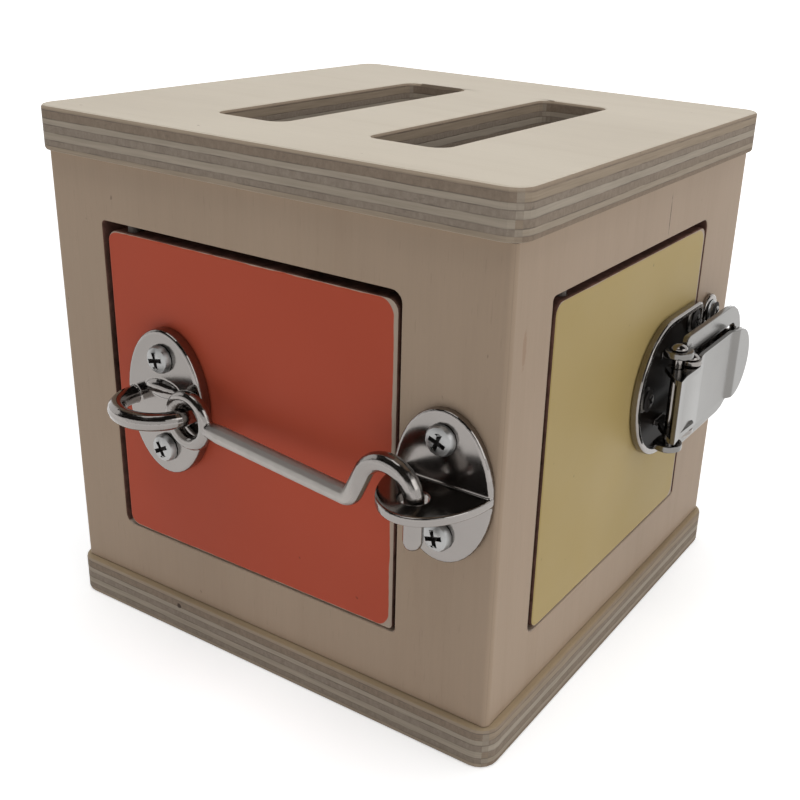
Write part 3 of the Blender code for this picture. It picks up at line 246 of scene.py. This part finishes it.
# Near-black for the tray's floor: painted shade, for the shade and dark reflections under the lever
TRAY_PAINTED_SHADE = (0.022, 0.017, 0.014)
BRIGHT, SATIN, DULL = (0.11, 0.19), (0.14, 0.24), (0.34, 0.48)
METAL_CLOUD, METAL_TONES = (60, 3), (0.93, 1.03)
METAL_PITS, PIT_LIMITS = (900, 3, 0.7), (0.66, 0.74)
PIT_SHARE, PIT_SHADE, PIT_ROUGH = 0.25, 0.45, 0.3
POLISH, POLISH_RELIEF_SHARE = (400, 2600, 2, 0.5), 0.04
STEEL_GRIME, STEEL_SHADE, STEEL_ROUGH = (700, 3, 0.6), 0.5, 0.75
METAL_RELIEF, STEEL_RELIEF = 0.00004, 0.00005
# Shine of plain metal, and of the tray's floor under its painted shade
PLAIN_SHINE, PAINTED_SHADE_SHINE = 0.5, 0.02
TRAY_FLOOR_LIMITS = (HALF_BODY + 0.0013, HALF_BODY + 0.0021)
TRAY_FACING_LIMITS = (0.1, 0.6)
RUBBED_FROM, RUBBED_TO, RUBBED_FADE = -0.006, 0.036, 0.005
RUBBED_STREAK, RUBBED_ROUGH, STREAK_ROUGH = (260, 3, 0.6), 0.48, 0.25

# Glue in the mitres
MITRE_SHADE = 0.92
MITRE_HALF_SHARE = 0.475


# Node graphs


class Graph:
    """Builds one node tree, a node at a time."""

    # The sockets of a Mix node that stand for colours
    MIX_SHARE, MIX_FIRST, MIX_SECOND, MIX_RESULT = 0, 6, 7, 2

    def __init__(self, tree):
        self.tree = tree

    def put(self, socket, value):
        """Links the socket to another node's output, or sets its number or colour."""
        if isinstance(value, bpy.types.NodeSocket):
            self.tree.links.new(value, socket)
        elif isinstance(value, (tuple, list)) and len(value) == 3 and socket.type == "RGBA":
            socket.default_value = (*value, 1)
        elif value is not None:
            socket.default_value = value

    def node(self, kind, *values, **settings):
        made = self.tree.nodes.new("ShaderNode" + kind)
        for key, value in settings.items():
            setattr(made, key, value)
        for socket, value in zip(made.inputs, values):
            self.put(socket, value)
        return made

    def math(self, operation, *values):
        return self.node("Math", *values, operation=operation).outputs[0]

    def inverse(self, value):
        return self.math("SUBTRACT", 1, value)

    def vector(self, operation, *values):
        made = self.node("VectorMath", *values, operation=operation)
        return made.outputs["Value" if operation in ("DOT_PRODUCT", "LENGTH") else "Vector"]

    def parts(self, vector):
        return self.node("SeparateXYZ", vector).outputs

    def noise(self, point, fineness, detail=2, roughness=0.5):
        made = self.node("TexNoise", point)
        made.inputs["Scale"].default_value = fineness
        made.inputs["Detail"].default_value = detail
        made.inputs["Roughness"].default_value = roughness
        return made.outputs[0]

    def grain_noise(self, point, grain, kind):
        """Noise drawn out along the grain, or pressed together there."""
        along, across, detail, roughness = kind
        fineness = tuple(along if runs else across for runs in grain)
        return self.noise(self.vector("MULTIPLY", point, fineness), 1, detail, roughness)

    def ramp(self, value, stops):
        made = self.node("ValToRGB", value)
        elements = made.color_ramp.elements
        while len(elements) < len(stops):
            elements.new(1)
        for element, (spot, colour) in zip(elements, stops):
            element.position = spot
            element.color = (*(colour if isinstance(colour, tuple) else (colour,) * 3), 1)
        return made.outputs[0]

    def tones(self, noise, pair):
        """From the first tone to the second where the noise goes from low to high."""
        return self.ramp(noise, list(zip(NOISE_LIMITS, pair)))

    def mix(self, share, first, second, blend="MIX"):
        made = self.tree.nodes.new("ShaderNodeMix")
        made.data_type = "RGBA"
        made.blend_type = blend
        self.put(made.inputs[self.MIX_SHARE], share)
        self.put(made.inputs[self.MIX_FIRST], first)
        self.put(made.inputs[self.MIX_SECOND], second)
        return made.outputs[self.MIX_RESULT]

    def tinted(self, colour, tint):
        return self.mix(1, colour, tint, "MULTIPLY")

    def between(self, share, first, second):
        """The number first where share is 0, and second where it is 1."""
        return self.mix(share, (first,) * 3, (second,) * 3)

    def step(self, value, low, high):
        """0 below low, 1 above high, straight between."""
        made = self.node("MapRange", value)
        for index, bound in enumerate((low, high, 0, 1), start=1):
            made.inputs[index].default_value = bound
        return made.outputs[0]

    def bump(self, height, distance):
        made = self.node("Bump")
        self.put(made.inputs["Strength"], RELIEF_STRENGTH)
        self.put(made.inputs["Distance"], distance)
        self.put(made.inputs["Height"], height)
        return made.outputs["Normal"]


def new_material(name):
    material = bpy.data.materials.new(name)
    material.use_nodes = True
    graph = Graph(material.node_tree)
    return material, graph, material.node_tree.nodes["Principled BSDF"]


def place_of(graph):
    coordinates = graph.node("TexCoord")
    return coordinates.outputs["Object"], coordinates.outputs["Normal"]


# Plywood


def veneer(graph, point, grain, colour):
    """A birch face: broad tone, soft streaks along the grain, dark pores and a few specks."""
    tone = graph.grain_noise(point, grain, BIRCH_TONE)
    streak = graph.grain_noise(point, grain, BIRCH_STREAK)
    fibre = graph.grain_noise(point, grain, BIRCH_FIBRE)
    pore = graph.step(graph.grain_noise(point, grain, BIRCH_PORE), *PORE_LIMITS)
    speck = graph.step(graph.grain_noise(point, grain, BIRCH_SPECK), *SPECK_LIMITS)
    out = graph.tinted(colour, graph.ramp(tone, BIRCH_TONES))
    out = graph.tinted(out, graph.ramp(streak, BIRCH_TINTS))
    out = graph.tinted(out, graph.tones(fibre, BIRCH_LINES))
    pores = graph.math("MULTIPLY", pore, PORE_SHARE)
    marks = graph.math("MAXIMUM", pores, graph.math("MULTIPLY", speck, SPECK_SHARE))
    out = graph.mix(marks, out, PORE_COLOUR)
    height = graph.math("SUBTRACT", graph.math("MULTIPLY", fibre, 0.5), marks)
    return out, height


def plies(graph, point, depth, across):
    """The plies on an edge. across is 0 where the first ply shows its long grain, else 1."""
    for kind, share in ((PLY_SHAKE, SHAKE_SHARE), (PLY_WAVE, WAVE_SHARE)):
        moved = graph.math("SUBTRACT", graph.grain_noise(point, GRAIN_UP, kind), 0.5)
        depth = graph.math("MULTIPLY_ADD", moved, share, depth)
    count = len(PLY_ENDS_SHARE) - 1
    stops = [(end, number / count) for number, end in enumerate(PLY_ENDS_SHARE)]
    layer = graph.math("MULTIPLY", graph.ramp(depth, stops), count)
    number = graph.math("FLOOR", layer)

    # Every other ply shows end grain
    odd = graph.math("FLOORED_MODULO", number, 2)
    end = graph.math("ABSOLUTE", graph.math("SUBTRACT", odd, across))
    long_grain = graph.grain_noise(point, GRAIN_UP, LONG_GRAIN)
    end_grain = graph.grain_noise(point, GRAIN_UP, END_GRAIN)
    out = graph.mix(end, graph.tones(long_grain, PALE_PLY), graph.tones(end_grain, GREY_PLY))

    # Each ply has a tone of its own, and the first one is warmer
    own = graph.node("CombineXYZ", number, PLY_TONE_ROW, across).outputs[0]
    out = graph.tinted(out, graph.ramp(graph.noise(own, *PLY_TONE), PLY_TINTS))
    first = graph.inverse(graph.step(number, *FIRST_PLY_LIMITS))
    out = graph.mix(graph.math("MULTIPLY", first, FIRST_PLY_SHARE), out, FIRST_PLY)

    # Dark glue between the plies, broken in places, and small holes in the end grain
    glue = graph.inverse(graph.step(graph.math("PINGPONG", layer, 0.5), *GLUE_RIM))
    patchy = graph.step(graph.grain_noise(point, GRAIN_UP, GLUE_PATCH), *GLUE_PATCH_LIMITS)
    glue = graph.math("MULTIPLY", glue, patchy)
    out = graph.mix(graph.math("MULTIPLY", glue, GLUE_SHARE), out, GLUE)
    hole = graph.step(graph.grain_noise(point, GRAIN_UP, PLY_HOLE), *HOLE_LIMITS)
    hole = graph.math("MULTIPLY", hole, end)
    out = graph.mix(graph.math("MULTIPLY", hole, HOLE_SHARE), out, GLUE)
    furred = graph.math("MULTIPLY", end_grain, graph.math("MULTIPLY", end, 0.5))
    return out, graph.math("SUBTRACT", furred, glue)


def finish_wood(graph, shader, colour, rough, height, sheen=WOOD_SHEEN):
    shader.inputs["Specular IOR Level"].default_value = sheen
    graph.put(shader.inputs["Base Color"], colour)
    graph.put(shader.inputs["Roughness"], rough)
    graph.put(shader.inputs["Normal"], graph.bump(height, WOOD_RELIEF))


def blot(graph, point, centre, radii):
    """1 inside an uneven oval round centre, 0 outside."""
    aside = graph.vector("DIVIDE", graph.vector("SUBTRACT", point, centre), radii)
    uneven = graph.math("SUBTRACT", graph.noise(point, *MARK_NOISE), 0.5)
    far = graph.math("ADD", uneven, graph.vector("LENGTH", aside))
    return graph.inverse(graph.step(far, *MARK_LIMITS))


def marked(graph, point, colour, marks):
    """The colour with a few blots of its own."""
    for centre, radii, share, tint in marks:
        spot = graph.math("MULTIPLY", blot(graph, point, centre, radii), share)
        colour = graph.mix(spot, colour, tint)
    return colour


def plate_wood(name, top, face_colour, marks=()):
    """A thick plate: birch faces and seven plies on its edges."""
    material, graph, shader = new_material(name)
    point, normal = place_of(graph)
    turned = graph.parts(graph.vector("ABSOLUTE", normal))
    on_face = graph.step(turned[2], *PLATE_FACE_LIMITS)
    depth = graph.math("SUBTRACT", top, graph.parts(point)[2])
    across = graph.step(graph.math("SUBTRACT", turned[0], turned[1]), *PLATE_SIDE_LIMITS)
    edge, edge_height = plies(graph, point, graph.math("DIVIDE", depth, PLATE), across)
    skin, skin_height = veneer(graph, point, GRAIN_X, face_colour)
    colour = marked(graph, point, graph.mix(on_face, edge, skin), marks)
    height = graph.mix(on_face, edge_height, skin_height)
    finish_wood(graph, shader, colour, graph.between(on_face, *PLATE_ROUGH), height)
    return material


def singed_edge(graph, point):
    """The cut round a door or its opening, browned in streaks but pale along the sill: unbrowned
    there, and lightened as painted light over the shade in the gap under the door.
    """
    soot = graph.noise(point, *SOOT)
    band = graph.noise(point, *SOOT_BAND)
    mixed = graph.math("MULTIPLY_ADD", soot, 0.5, graph.math("MULTIPLY", band, 0.5))
    browned = graph.ramp(mixed, SINGED_TONES)
    # Pale sill: painted light over the shade in the gap under the door
    pale_sill = graph.inverse(graph.step(graph.parts(point)[2], *PALE_SILL_LIMITS))
    return graph.mix(pale_sill, browned, BARE_COLOUR), soot


def wall_wood(side):
    """A wall: birch on its face, browned where its opening was cut."""
    _, outward, _ = SIDES[side]
    material, graph, shader = new_material(side + "_plywood")
    point, normal = place_of(graph)
    along = graph.vector("DOT_PRODUCT", normal, outward)
    on_face = graph.step(graph.math("ABSOLUTE", along), *WALL_FACE_LIMITS)
    edge, edge_height = singed_edge(graph, point)
    skin, skin_height = veneer(graph, point, GRAIN_UP, WALL_COLOUR)
    skin = marked(graph, point, skin, WALL_MARKS.get(side, ()))
    colour = graph.mix(on_face, edge, skin)
    height = graph.mix(on_face, edge_height, skin_height)
    finish_wood(graph, shader, colour, graph.between(on_face, *WALL_ROUGH), height)
    return material


def painted_field(graph, point, rightward):
    """1 inside a door's painted field, a rounded rectangle whose rim wanders a little."""
    places = (graph.vector("DOT_PRODUCT", point, rightward), graph.parts(point)[2])
    spans = []
    for place, (low, high) in zip(places, FIELD):
        away = graph.math("ABSOLUTE", graph.math("SUBTRACT", place, (low + high) / 2))
        past = graph.math("SUBTRACT", away, (high - low) / 2 - FIELD_CORNER)
        spans.append(graph.math("MAXIMUM", past, 0))
    far = graph.vector("LENGTH", graph.node("CombineXYZ", *spans, 0).outputs[0])
    wander = graph.math("SUBTRACT", graph.noise(point, *WANDER_NOISE), 0.5)
    far = graph.math("MULTIPLY_ADD", wander, FIELD_WANDER, far)
    return graph.inverse(graph.step(far, FIELD_CORNER - FIELD_RIM, FIELD_CORNER + FIELD_RIM))


def door_wood(side):
    """A door: paint on its outer face, a bare strip at its right edge, browned cut edges."""
    paint_name, outward, rightward = SIDES[side]
    paint = PAINTS[paint_name]
    material, graph, shader = new_material(paint_name + "_paint_on_plywood")
    point, normal = place_of(graph)
    along = graph.vector("DOT_PRODUCT", normal, outward)
    on_face = graph.step(graph.math("ABSOLUTE", along), *WALL_FACE_LIMITS)
    edge, edge_height = singed_edge(graph, point)
    skin, skin_height = veneer(graph, point, GRAIN_UP, BARE_COLOUR)
    colour = graph.mix(on_face, edge, skin)
    height = graph.mix(on_face, edge_height, skin_height)
    rough = graph.between(on_face, *DOOR_ROUGH)

    inside = painted_field(graph, point, rightward)
    coat = graph.math("MULTIPLY", graph.step(along, *PAINT_LIMITS), inside)
    film = graph.tinted(paint, graph.tones(graph.noise(point, *PAINT_CLOUD), PAINT_TONES))
    dot = graph.step(graph.noise(point, *PAINT_DOT), *DOT_LIMITS)
    dot = graph.math("MULTIPLY", dot, DOT_SHARE)
    film = graph.mix(dot, film, tuple(part * DOT_SHADE for part in paint))
    grit = graph.noise(point, *PAINT_GRIT)
    relief = graph.math("MULTIPLY_ADD", grit, GRIT_HEIGHT, PAINT_HEIGHT)
    gloss = graph.tones(graph.noise(point, *PAINT_GLOSS), PAINT_ROUGH)
    colour = graph.mix(coat, colour, film)
    height = graph.mix(coat, height, relief)
    finish_wood(graph, shader, colour, graph.mix(coat, rough, gloss), height, PAINT_SHEEN)
    return material


# Metal


def metal(name, colour, polish, grimy_tray=False, rubbed=False):
    """Plated steel: faint polishing marks in its gloss, small pits and a cloudy tone.

    With the tray flag, it blackens the floor of the tray on the right side: painted shade, for the
    shade and dark reflections under the lever.
    rubbed dulls the stretch of the hook that fingers hold.
    """
    material, graph, shader = new_material(name)
    point, normal = place_of(graph)
    cloud = graph.noise(point, *METAL_CLOUD)
    fine = graph.grain_noise(point, GRAIN_UP, POLISH)
    pits = graph.step(graph.noise(point, *METAL_PITS), *PIT_LIMITS)
    pits = graph.math("MULTIPLY", pits, PIT_SHARE)
    base = graph.tinted(colour, graph.tones(cloud, METAL_TONES))
    base = graph.mix(pits, base, tuple(part * PIT_SHADE for part in colour))
    gloss = graph.math("MULTIPLY_ADD", fine, polish[1] - polish[0], polish[0])
    rough = graph.math("MULTIPLY_ADD", pits, PIT_ROUGH, gloss)
    if grimy_tray:
        # Painted shade: the tray's floor, facing +X, turns near-black, hardly shiny and not
        # metallic
        facing = graph.step(graph.parts(normal)[0], *TRAY_FACING_LIMITS)
        deep = graph.inverse(graph.step(graph.parts(point)[0], *TRAY_FLOOR_LIMITS))
        darkening = graph.math("MULTIPLY", facing, deep)
        base = graph.mix(darkening, base, TRAY_PAINTED_SHADE)
        shine = graph.math("MULTIPLY_ADD", darkening, PAINTED_SHADE_SHINE - PLAIN_SHINE, PLAIN_SHINE)
        graph.put(shader.inputs["Specular IOR Level"], shine)
        graph.put(shader.inputs["Metallic"], graph.inverse(darkening))
    else:
        shader.inputs["Metallic"].default_value = 1
    if rubbed:
        middle, half = (RUBBED_FROM + RUBBED_TO) / 2, (RUBBED_TO - RUBBED_FROM) / 2
        away = graph.math("ABSOLUTE", graph.math("SUBTRACT", graph.parts(point)[0], middle))
        worn = graph.inverse(graph.step(away, half, half + RUBBED_FADE))
        streak = graph.noise(point, *RUBBED_STREAK)
        dull = graph.math("MULTIPLY_ADD", streak, STREAK_ROUGH, RUBBED_ROUGH)
        rough = graph.mix(worn, rough, dull)
        base = graph.mix(worn, base, RUBBED_NICKEL)
    graph.put(shader.inputs["Base Color"], base)
    graph.put(shader.inputs["Roughness"], rough)
    uneven = graph.math("MULTIPLY_ADD", fine, POLISH_RELIEF_SHARE, cloud)
    graph.put(shader.inputs["Normal"], graph.bump(uneven, METAL_RELIEF))
    return material


def dull_steel(name, colour):
    """Dark steel that hardly shines, for the door pins, and as painted shade in the screws'
    crosses.
    """
    material, graph, shader = new_material(name)
    point, _ = place_of(graph)
    darkening = graph.noise(point, *STEEL_GRIME)
    dark = tuple(part * STEEL_SHADE for part in colour)
    graph.put(shader.inputs["Base Color"], graph.tones(darkening, (dark, colour)))
    shader.inputs["Roughness"].default_value = STEEL_ROUGH
    graph.put(shader.inputs["Normal"], graph.bump(darkening, STEEL_RELIEF))
    return material


# Pieces


def linked(name, mesh):
    made = bpy.data.objects.new(name, mesh)
    bpy.context.scene.collection.objects.link(made)
    return made


def dress(node, material):
    """Gives a solid, kept as imported from model.glb, its new material."""
    nodes[node].data.materials.clear()
    nodes[node].data.materials.append(material)


def hand_over(piece, node):
    """Lets the piece stand for the node, on the same body."""
    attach(piece, nodes[node].parent.name.split(":")[1])
    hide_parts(node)


def welded(node, whole_faces=False):
    """The node's mesh with its triangles joined, and each flat face made one if asked."""
    bm = bmesh.new()
    bm.from_mesh(nodes[node].data)
    bmesh.ops.remove_doubles(bm, verts=bm.verts, dist=WELD)
    if whole_faces:
        bmesh.ops.dissolve_limit(bm, angle_limit=FLAT_ANGLE, verts=bm.verts, edges=bm.edges)
    return bm


def shade_round(bm):
    """Shades facets as one round surface, and breaks it at each sharp edge."""
    for face in bm.faces:
        face.smooth = True
    for edge in bm.edges:
        if len(edge.link_faces) == 2 and edge.calc_face_angle() > SHARP_EDGE:
            edge.smooth = False


def start_piece(node, bm):
    mesh = bpy.data.meshes.new(node + "_first")
    bm.to_mesh(mesh)
    bm.free()
    return linked(node + "_finish", mesh)


def end_piece(piece, node, material):
    """Makes the modifiers' result the piece's own mesh, and hands it over."""
    first = piece.data
    evaluated = piece.evaluated_get(bpy.context.evaluated_depsgraph_get())
    final = bpy.data.meshes.new_from_object(evaluated)
    piece.modifiers.clear()
    piece.data = final
    bpy.data.meshes.remove(first)
    final.name = piece.name
    final.materials.clear()
    final.materials.append(material)
    hand_over(piece, node)


def cast(node, material):
    """The node's shape as a plated casting: its facets smoothed and its edges eased."""
    bm = welded(node)
    if node == "latch_link":
        widen_ears(bm)
    piece = start_piece(node, bm)
    remesh = piece.modifiers.new("remesh", "REMESH")
    remesh.mode = "VOXEL"
    fine = node.startswith(("latch", "lever", "link"))
    remesh.voxel_size = FINE_VOXEL if fine else PLAIN_VOXEL
    smooth = piece.modifiers.new("smooth", "SMOOTH")
    smooth.factor = SMOOTH_FACTOR
    smooth.iterations = SMOOTH_ROUNDS
    fewer = piece.modifiers.new("fewer", "DECIMATE")
    fewer.ratio = KEPT_ON_PLATES if node.endswith("_plate") else KEPT_FACES
    end_piece(piece, node, material)
    piece.data.shade_smooth()


def widen_ears(bm):
    """Adds rings round the link's two ears, cut flat where they face the door."""
    out = HALF_BODY + LINK_PIN_OUT
    for side in (-1, 1):
        rows = []
        for rise in (EAR_INNER, EAR_INNER + EAR_SHEET):
            for radius in (EAR_BORE, EAR_REACH):
                row = []
                for step in range(EAR_FACETS):
                    angle = math.tau * step / EAR_FACETS
                    reach = max(radius * math.cos(angle), -EAR_CUT)
                    along = LINK_PIN_Y + radius * math.sin(angle)
                    row.append(bm.verts.new((out + reach, along, LATCH_HEIGHT + side * rise)))
                rows.append(row)
        faces = []
        for first, second in ((0, 1), (1, 3), (3, 2), (2, 0)):
            near, far = rows[first], rows[second]
            for step in range(EAR_FACETS):
                after = (step + 1) % EAR_FACETS
                faces.append(bm.faces.new((near[step], far[step], far[after], near[after])))
        bmesh.ops.recalc_face_normals(bm, faces=faces)


def fold_lever(node, material):
    """The lever as a folded sheet: flat faces, round bends and a hair of round on its edges."""
    bm = welded(node, whole_faces=True)
    for vert in bm.verts:
        vert.co.y = max(vert.co.y, HEEL_START)
    shade_round(bm)
    piece = start_piece(node, bm)
    bevel = piece.modifiers.new("bevel", "BEVEL")
    bevel.width = SHEET_ROUND
    bevel.segments = 2
    bevel.limit_method = "ANGLE"
    bevel.angle_limit = ROUNDED_EDGE
    bevel.use_clamp_overlap = False
    bevel.harden_normals = True
    end_piece(piece, node, material)


def turn_screw(node, head_metal, cross_shade):
    """A screw shaded round, with a flatter head and painted shade in its wider cross."""
    bm = welded(node, whole_faces=True)
    low, high = (
        Vector(pick(vert.co[axis] for vert in bm.verts) for axis in range(3)) for pick in (min, max)
    )
    middle = (low + high) / 2
    main = 0 if abs(middle.x) > abs(middle.y) else 1
    outward = 1 if middle[main] > 0 else -1
    crown = high[main] if outward > 0 else -low[main]

    def reach_of(spot):
        aside = spot - middle
        aside[main] = 0
        return aside.length

    def depth_of(spot):
        return crown - outward * spot[main]

    # The faces deep in the cross take the second material, painted shade
    cross = set()
    for face in bm.faces:
        centre = face.calc_center_median()
        if reach_of(centre) < CROSS_REACH and CROSS_RIM < depth_of(centre) < CROSS_DEPTH:
            face.material_index = 1
            cross.update(face.verts)
    dome = [vert for vert in bm.verts if depth_of(vert.co) < HEAD_DOME]
    flat_reach = HEAD_FLAT_SHARE * max(reach_of(vert.co) for vert in dome)
    for vert in dome:
        if reach_of(vert.co) < flat_reach:
            vert.co[main] = outward * (crown - CROSS_RIM)
    for vert in cross:
        for axis in {0, 1, 2} - {main}:
            vert.co[axis] = middle[axis] + (vert.co[axis] - middle[axis]) * CROSS_WIDENED
    shade_round(bm)
    piece = start_piece(node, bm)
    piece.data.name = piece.name
    piece.data.materials.append(head_metal)
    piece.data.materials.append(cross_shade)
    hand_over(piece, node)


def dress_plywood():
    dress("top_plate", plate_wood("top_plywood", TOP, TOP_COLOUR))
    # The base's faces carry painted shade
    dress("base_plate", plate_wood("base_plywood", PLATE, SHADED_BASE_COLOUR, BASE_MARKS))
    for side, (paint, _, _) in SIDES.items():
        dress(side + "_wall", wall_wood(side))
        dress(paint + "_door", door_wood(side))


def make_metalwork():
    nickel = metal("bright_nickel", NICKEL, BRIGHT)
    zinc = metal("bright_zinc", ZINC, DULL)
    hook_nickel = metal("rubbed_nickel", NICKEL, SATIN, rubbed=True)
    lever_nickel = metal("lever_nickel", LEVER_NICKEL, SATIN)
    # Nickel whose tray floor carries painted shade
    tray_nickel = metal("grimy_tray_nickel", NICKEL, SATIN, grimy_tray=True)
    # Painted shade: darker zinc for the screws inside the tray
    tray_screw_zinc = metal("shaded_zinc", SHADED_ZINC, DULL)
    pin_steel = dull_steel("dull_pin_steel", PIN_STEEL)
    # Painted shade for the recesses of the screws' crosses
    cross_shade = dull_steel("screw_cross_dirt", CROSS_PAINTED_SHADE)
    plated = {"latch_base": tray_nickel, "hook": hook_nickel, "latch_link": lever_nickel}
    for node in nodes:
        if node.endswith(("_wall", "_door", "top_plate", "base_plate")):
            continue
        if "_screw" in node:
            turn_screw(node, tray_screw_zinc if node.startswith("latch_base") else zinc, cross_shade)
        elif node.endswith("_pin") and "door" in node:
            dress(node, pin_steel)
        elif node == "latch_lever":
            fold_lever(node, lever_nickel)
        else:
            cast(node, plated.get(node, nickel))


def add_mitre_glue():
    """A hair of glue in each mitred corner, flush with the rounded corner."""
    material, graph, shader = new_material("corner_glue")
    point, _ = place_of(graph)
    colour = tuple(part * MITRE_SHADE for part in WALL_COLOUR)
    skin, height = veneer(graph, point, GRAIN_UP, colour)
    finish_wood(graph, shader, skin, None, height)
    inner = HALF_BODY - WALL
    outer = HALF_BODY - WALL_CORNER + (WALL_CORNER - GLUE_GAP / 2) * math.cos(math.pi / 4)
    half = MITRE_HALF_SHARE * GLUE_GAP
    outline = ((inner, -half), (outer, -half), (outer, half), (inner, half))
    for index, (sx, sy) in enumerate(((1, -1), (1, 1), (-1, 1), (-1, -1))):
        bm = bmesh.new()
        rows = []
        for level in (PLATE + GLUE_GAP, TOP - PLATE - GLUE_GAP):
            row = []
            for reach, shift in outline:
                lean = shift * math.sqrt(0.5)
                row.append(bm.verts.new((sx * (reach + lean), sy * (reach - lean), level)))
            rows.append(row)
        low, high = rows
        for first in range(len(outline)):
            second = (first + 1) % len(outline)
            bm.faces.new((low[first], low[second], high[second], high[first]))
        bm.faces.new(low[::-1])
        bm.faces.new(high)
        bmesh.ops.recalc_face_normals(bm, faces=bm.faces)
        mesh = bpy.data.meshes.new(f"corner_glue_{index}")
        bm.to_mesh(mesh)
        bm.free()
        mesh.materials.append(material)
        piece = linked(mesh.name, mesh)
        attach(piece, "box")


# Floor, light and camera


def seen_by_eye_and_gloss(graph):
    """1 for what the camera sees, straight, through glass or in polished metal, else 0."""
    paths = graph.node("LightPath").outputs
    seen = graph.math("MAXIMUM", paths["Is Camera Ray"], paths["Is Transmission Ray"])
    return graph.math("MAXIMUM", seen, paths["Is Glossy Ray"])


def add_sheet(name, corners):
    mesh = bpy.data.meshes.new(name)
    mesh.from_pydata(corners, [], [tuple(range(len(corners)))])
    sheet = linked(name, mesh)
    return sheet


def add_floor():
    """A pale floor, white to the eye, that lights the box no more than pale paint does."""
    turns = ((-1, -1), (1, -1), (1, 1), (-1, 1))
    floor = add_sheet("floor", [(x * FLOOR_HALF, y * FLOOR_HALF, 0) for x, y in turns])
    material, graph, shader = new_material("pale_floor")
    point, _ = place_of(graph)
    cloud = graph.noise(point, *FLOOR_CLOUD)
    graph.put(shader.inputs["Base Color"], graph.tones(cloud, FLOOR_TONES))
    shader.inputs["Roughness"].default_value = 1
    shader.inputs["Emission Color"].default_value = (1, 1, 1, 1)
    away = graph.step(graph.vector("LENGTH", point), FLOOR_NEAR, FLOOR_FAR)
    brighter = graph.math("MULTIPLY_ADD", away, FAR_FLOOR_GLOW - FLOOR_GLOW, FLOOR_GLOW)
    glow = graph.math("MULTIPLY", seen_by_eye_and_gloss(graph), brighter)
    graph.put(shader.inputs["Emission Strength"], glow)
    floor.data.materials.append(material)


def add_dark_card(name, corners):
    """A dark sheet that only reflections see, as a room is in polished metal."""
    card = add_sheet(name, corners)
    card.visible_camera = card.visible_diffuse = card.visible_shadow = False
    card.visible_transmission = False
    material, graph, shader = new_material(name)
    point, _ = place_of(graph)
    cloud = graph.noise(point, *CARD_CLOUD)
    graph.put(shader.inputs["Base Color"], graph.tones(cloud, CARD_TONES))
    shader.inputs["Roughness"].default_value = 1
    card.data.materials.append(material)


def add_dark_cards():
    near = [(CARD_LEFT, CARD_FRONT, CARD_HIGH), (CARD_RIGHT, CARD_FRONT, CARD_HIGH)]
    foot = [(CARD_LEFT, CARD_FRONT, CARD_LOW), (CARD_RIGHT, CARD_FRONT, CARD_LOW)]
    far = [(CARD_RIGHT, CARD_BACK, CARD_HIGH), (CARD_LEFT, CARD_BACK, CARD_HIGH)]
    add_dark_card("dark_front", foot + near[::-1])
    add_dark_card("dark_ceiling", near + far)


def add_world():
    world = bpy.data.worlds.new("studio")
    bpy.context.scene.world = world
    world.use_nodes = True
    graph = Graph(world.node_tree)
    background = world.node_tree.nodes["Background"]
    background.inputs["Color"].default_value = (1, 1, 1, 1)
    strength = graph.math("MAXIMUM", seen_by_eye_and_gloss(graph), WORLD_STRENGTH)
    graph.put(background.inputs["Strength"], strength)


def add_lamp(name, spot, target, size, power, mirrored):
    light = bpy.data.lights.new(name, "AREA")
    light.shape = "RECTANGLE"
    light.size, light.size_y = size
    light.energy = power
    lamp = linked(name, light)
    lamp.location = spot
    aim = Vector(target) - Vector(spot)
    lamp.rotation_euler = aim.to_track_quat("-Z", "Y").to_euler()
    lamp.visible_glossy = mirrored


def add_camera():
    data = bpy.data.cameras.new("camera")
    data.lens = CAMERA_LENS
    data.sensor_width = CAMERA_SENSOR
    data.shift_x, data.shift_y = CAMERA_SHIFT
    data.clip_start, data.clip_end = CAMERA_CLIP
    camera = linked("camera", data)
    up = CAMERA_BACK.cross(CAMERA_RIGHT)
    turn = Matrix((CAMERA_RIGHT, up, CAMERA_BACK)).transposed().to_4x4()
    camera.matrix_world = Matrix.Translation(CAMERA_SPOT) @ turn
    bpy.context.scene.camera = camera


dress_plywood()
make_metalwork()
add_mitre_glue()
add_floor()
add_dark_cards()
add_world()
for lamp_name, settings in LAMPS.items():
    add_lamp(lamp_name, *settings)
add_camera()
bpy.context.scene.view_settings.view_transform = "Standard"
